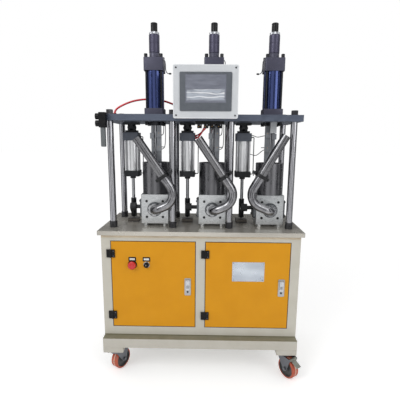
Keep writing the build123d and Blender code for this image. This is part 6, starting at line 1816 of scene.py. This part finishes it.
@dataclass
class AirSupply:
    """Regulator, solenoid valves, sensors and air loops with their small fittings."""

    loop_radius: float = 0.003
    loop_heights: Flat = (1.223, 1.4525)
    gauge_heights: Flat = (1.519, 1.557)
    valve_pitch: float = 0.038

    def dress(self, shop: Paintshop) -> None:
        """Coats the air parts and adds their small fittings."""
        low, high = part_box("air_regulator")
        corner = (high.x + 1, high.y + 1, 1.497)
        bowl = Zone((low.x - 1, low.y - 1, low.z - 0.01), corner, (112, 116, 118), 0.22, 0.2)
        shop.coat(Palette.PLASTIC.zoned("regulator_body", bowl), "air_regulator")
        shop.coat(Palette.PLASTIC.zoned("valve_moulding"), "solenoid_valves")
        box = Zone((0.4, -0.12, 1.47), (0.445, -0.0935, 1.54), (190, 193, 196), 0.4)
        shop.coat(Palette.RAIL.zoned("sensor_rails_and_box", box), "sensor_rails")
        self._loops(shop)
        self._gauges(shop, low.x, (low.y + high.y) / 2)
        self._solenoid_details(shop)
        lamps = Piece("sensor_lamps")
        lens = [(0.0018, 0.0), (0.0014, 0.0008), (0.0, 0.001)]
        for x, hand in HEADS:
            for z in (1.473, 1.39):
                lamps.turned(lens, (x + hand * 0.025, -0.092, z), TO_FRONT, 12)
        lamps.hang(shop, Palette.AMBER)

    def _loops(self, shop: Paintshop) -> None:
        """Bends the hard air pipes beside the actuators."""
        loops = Piece("hard_air_loops")
        low, high = self.loop_heights
        for x in ACTUATORS:
            start, out = x + 0.0555, x + 0.0675
            route = ((start, high), (out, high), (out, low), (start, low))
            corners = [Vector((a, ACTUATOR_Y, z)) for a, z in route]
            loops.bent(corners, (0.005, 0.005), self.loop_radius, 0.0, 16)
        loops.hang(shop, Palette.CLEAR_HOSE, "sensor_cables")

    def _gauges(self, shop: Paintshop, face: float, y: float) -> None:
        """Puts a bezel ring and a bare dial on both gauges of the regulator."""
        bezels, dials, left = Piece("gauge_bezels"), Piece("gauge_dials"), (-1.0, 0.0, 0.0)
        ring = [(0.0148, -0.0002), (0.017, -0.0002), (0.017, 0.0016), (0.0148, 0.0016)]
        disc = [(0.0, 0.0), (0.0148, 0.0), (0.0148, 0.0003), (0.0, 0.0003)]
        for z in self.gauge_heights:
            bezels.turned(ring, (face + 0.0016, y, z), left, 40, closed=True)
            dials.turned(disc, (face + 0.0003, y, z), left, 40)
        bezels.hang(shop, Palette.BLACK)
        dials.hang(shop, Palette.DIAL)

    def _solenoid_details(self, shop: Paintshop) -> None:
        """Adds push-in rings to the hoses' fittings, and lamps and buttons to the valves."""
        rings = Piece("push_in_rings")
        small = [(0.0052, 0.0), (0.0078, 0.0), (0.0078, 0.004), (0.007, 0.0048), (0.0052, 0.0048)]
        large = [(0.0062, -0.0006), (0.0095, -0.0006), (0.0095, 0.003), (0.0085, 0.004), (0.0062, 0.004)]
        for x in (0.0195, 0.0325):
            rings.turned(small, (x, -0.135, 1.512), Y_AXIS, 24, closed=True)
        for spot in (Cords.RED_ROUTE[0], Cords.RED_ROUTE[-1]):
            rings.turned(large, spot, Z_AXIS, 28, closed=True)
        rings.hang(shop, Palette.RED)
        lamps, buttons = Piece("solenoid_lamps"), Piece("solenoid_buttons")
        lens = [(0.0016, 0.0), (0.0012, 0.001), (0.0, 0.0012)]
        button = [(0.0028, 0.0), (0.0028, 0.0014), (0.002, 0.0018), (0.0, 0.0018)]
        for step in range(4):
            x = 0.045 + (step - 1.5) * self.valve_pitch
            lamps.turned(lens, (x - 0.005, -0.185, 1.508), TO_FRONT, 12)
            buttons.turned(button, (x + 0.005, -0.185, 1.516), TO_FRONT, 16)
        lamps.hang(shop, Palette.AMBER)
        buttons.hang(shop, Palette.BOLT)


@dataclass
class Casters:
    """Forks, wheels, plates and pedals."""

    radius: float = 0.0625
    width: float = 0.048
    tread_radius: float = 0.0505
    shoulder: float = 0.007
    web: float = 0.013
    hub: float = 0.02
    turns: dict[str, float] = field(
        default_factory=lambda: {
            "front_left": 60.0, "front_right": -57.0, "rear_left": 100.0, "rear_right": 75.0,
        }
    )

    def dress(self, shop: Paintshop) -> None:
        """Coats forks and plates, and turns each wheel's tread and hub."""
        shop.coat(Palette.ZINC, "caster_plates")
        for name, angle in self.turns.items():
            turn = math.radians(angle)
            axle = (math.sin(turn), -math.cos(turn), 0.0)
            self._wheel(shop, name, tuple(centre_of(f"caster_wheel_{name}")), axle)
            shop.coat(Palette.ZINC, f"caster_fork_{name}")
        shop.coat(Palette.PEDAL, "brake_pedal_front_left", "brake_pedal_front_right")

    def _wheel(self, shop: Paintshop, name: str, centre: Point, axis: Point) -> None:
        """Turns one wheel: a moulded tread with round shoulders on a dished hub.

        Args:
            shop: Where the materials come from.
            name: Which caster it is.
            centre: Middle of the wheel.
            axis: Unit vector along the axle.
        """
        half, seat, web, hub = self.width / 2, self.tread_radius, self.web, self.hub
        reach, side, bow = self.radius - self.shoulder, half - self.shoulder, self.shoulder
        angles = [math.pi / 2 * k / 6 for k in range(6, -1, -1)]
        rim = [(seat, half)] + [(reach + bow * math.cos(a), side + bow * math.sin(a)) for a in angles]
        groove = [(0.0619, 0.0022), (0.0619, -0.0022)]
        dish = [
            (0.0062, half), (hub - 0.001, half), (hub, half - 0.001), (hub, web + 0.002),
            (hub + 0.002, web), (seat - 0.006, web), (seat - 0.003, half - 0.004), (seat, half - 0.004),
        ]
        tread, disc = Piece(f"wheel_tread_{name}"), Piece(f"wheel_hub_{name}")
        tread.turned(rim + groove + [(r, -h) for r, h in reversed(rim)], centre, axis, 72, closed=True)
        disc.turned(dish + [(r, -h) for r, h in reversed(dish)], centre, axis, 60, closed=True)
        body, node = f"wheel_{name}", f"caster_wheel_{name}"
        tread.hang(shop, shop.wheel(body, centre, axis), node, body=body)
        disc.hang(shop, Palette.WHEEL_HUB, node, body=body)


@dataclass
class Controls:
    """Emergency stop, selector and their plates on the left door."""

    head_radius: float = 0.024
    head_depth: float = 0.014
    neck_radius: float = 0.011
    rise: float = 0.034
    back: float = -0.2401

    def dress(self, shop: Paintshop) -> None:
        """Builds the switches and their label plates."""
        shop.coat(Palette.PLASTIC, "hinge_frame_leaves")
        stop, knob = centre_of("e_stop_button"), centre_of("selector_knob")
        self._stop(shop, stop)
        self._selector(shop, knob)
        plates = Piece("label_faces")
        for middle in (stop, knob):
            x, z = middle.x, middle.z + self.rise - 0.006
            plates.block((x - 0.0155, -0.242, z), (x + 0.0155, -0.2415, z + 0.012), 0.0002)
        plates.hang(shop, Palette.LEGEND, body="left_door")
        bezel = [(0.0147, 0.0), (0.019, 0.0), (0.019, 0.0022), (0.0178, 0.0032), (0.0147, 0.0032)]
        collar = [(0.0147, 0.0), (0.0272, 0.0), (0.0272, 0.002), (0.0255, 0.0034), (0.0147, 0.0034)]
        for name, profile, middle, steps, finish in (
            ("switch_bezels", bezel, knob, 44, Palette.BOLT),
            ("stop_base_ring", collar, stop, 48, Palette.PLASTIC),
        ):
            ring = Piece(name).turned(profile, (middle.x, self.back, middle.z), TO_FRONT, steps, closed=True)
            ring.hang(shop, finish, body="left_door")

    def _stop(self, shop: Paintshop, middle: Vector) -> None:
        """Turns the mushroom head and its neck."""
        low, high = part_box("e_stop_button")
        radius, neck, back = self.head_radius, self.neck_radius, low.y + self.head_depth
        spot, length = (middle.x, back, middle.z), high.y - back
        profile = [
            (0.0, 0.0), (radius - 0.001, 0.0), (radius, 0.001), (radius, 0.0062), (radius - 0.0012, 0.0092),
            (radius - 0.0045, 0.0118), (radius - 0.0095, 0.0132), (radius - 0.0105, 0.0128),
            (radius - 0.012, 0.0134), (radius - 0.016, 0.0139), (0.0, 0.014),
        ]
        head = Piece("stop_head").turned(profile, spot, TO_FRONT, 60)
        head.turned([(0.0, 0.0), (neck, 0.0), (neck, length), (0.0, length)], spot, Y_AXIS, 32)
        head.hang(shop, Palette.RED, "e_stop_button", body="e_stop")

    @staticmethod
    def _selector(shop: Paintshop, middle: Vector) -> None:
        """Turns the selector's head, adds the grip bar and its white pointer."""
        low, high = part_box("selector_knob")
        x, z, face = middle.x, middle.z, low.y + 0.009
        top = high.y - face
        profile = [
            (0.0, 0.0), (0.0112, 0.0), (0.0112, top - 0.007), (0.0145, top - 0.007), (0.015, top - 0.0065),
            (0.015, top - 0.001), (0.014, top), (0.0, top),
        ]
        knob = Piece("selector_head").turned(profile, (x, high.y, z), TO_FRONT, 44)
        grip = rounded_outline(0.008, 0.022, 0.003)
        knob.pressed(grip, (x, face + 0.0002, z), X_AXIS, TO_FRONT, 0.0092, 0.0012)
        knob.hang(shop, Palette.PLASTIC, "selector_knob", body="selector")
        line = Piece("selector_pointer")
        line.block((x - 0.0007, low.y - 0.0003, z), (x + 0.0007, low.y + 0.0002, z + 0.0095))
        line.hang(shop, Palette.LEGEND, body="selector")


def main() -> None:
    """Builds the studio, lays the cords and dresses the machine, part by part."""
    logging.basicConfig(level=logging.INFO, format="%(message)s")
    bpy.context.scene.view_settings.view_transform = "Standard"
    studio = Studio()
    studio.camera()
    shop = Paintshop()
    Cords().lay(shop)
    studio.floor()
    studio.light()
    studio.cards()
    for part in (
        Cabinet(), Door("left", -0.5275), Door("right", 0.0295), Controls(), PostFrame(), OperatorPanel(),
        Dosing(), Actuators(), AirSupply(), Casters(),
    ):
        part.dress(shop)
        LOG.info("dressed %s", type(part).__name__)


if __name__ == "__main__":
    main()
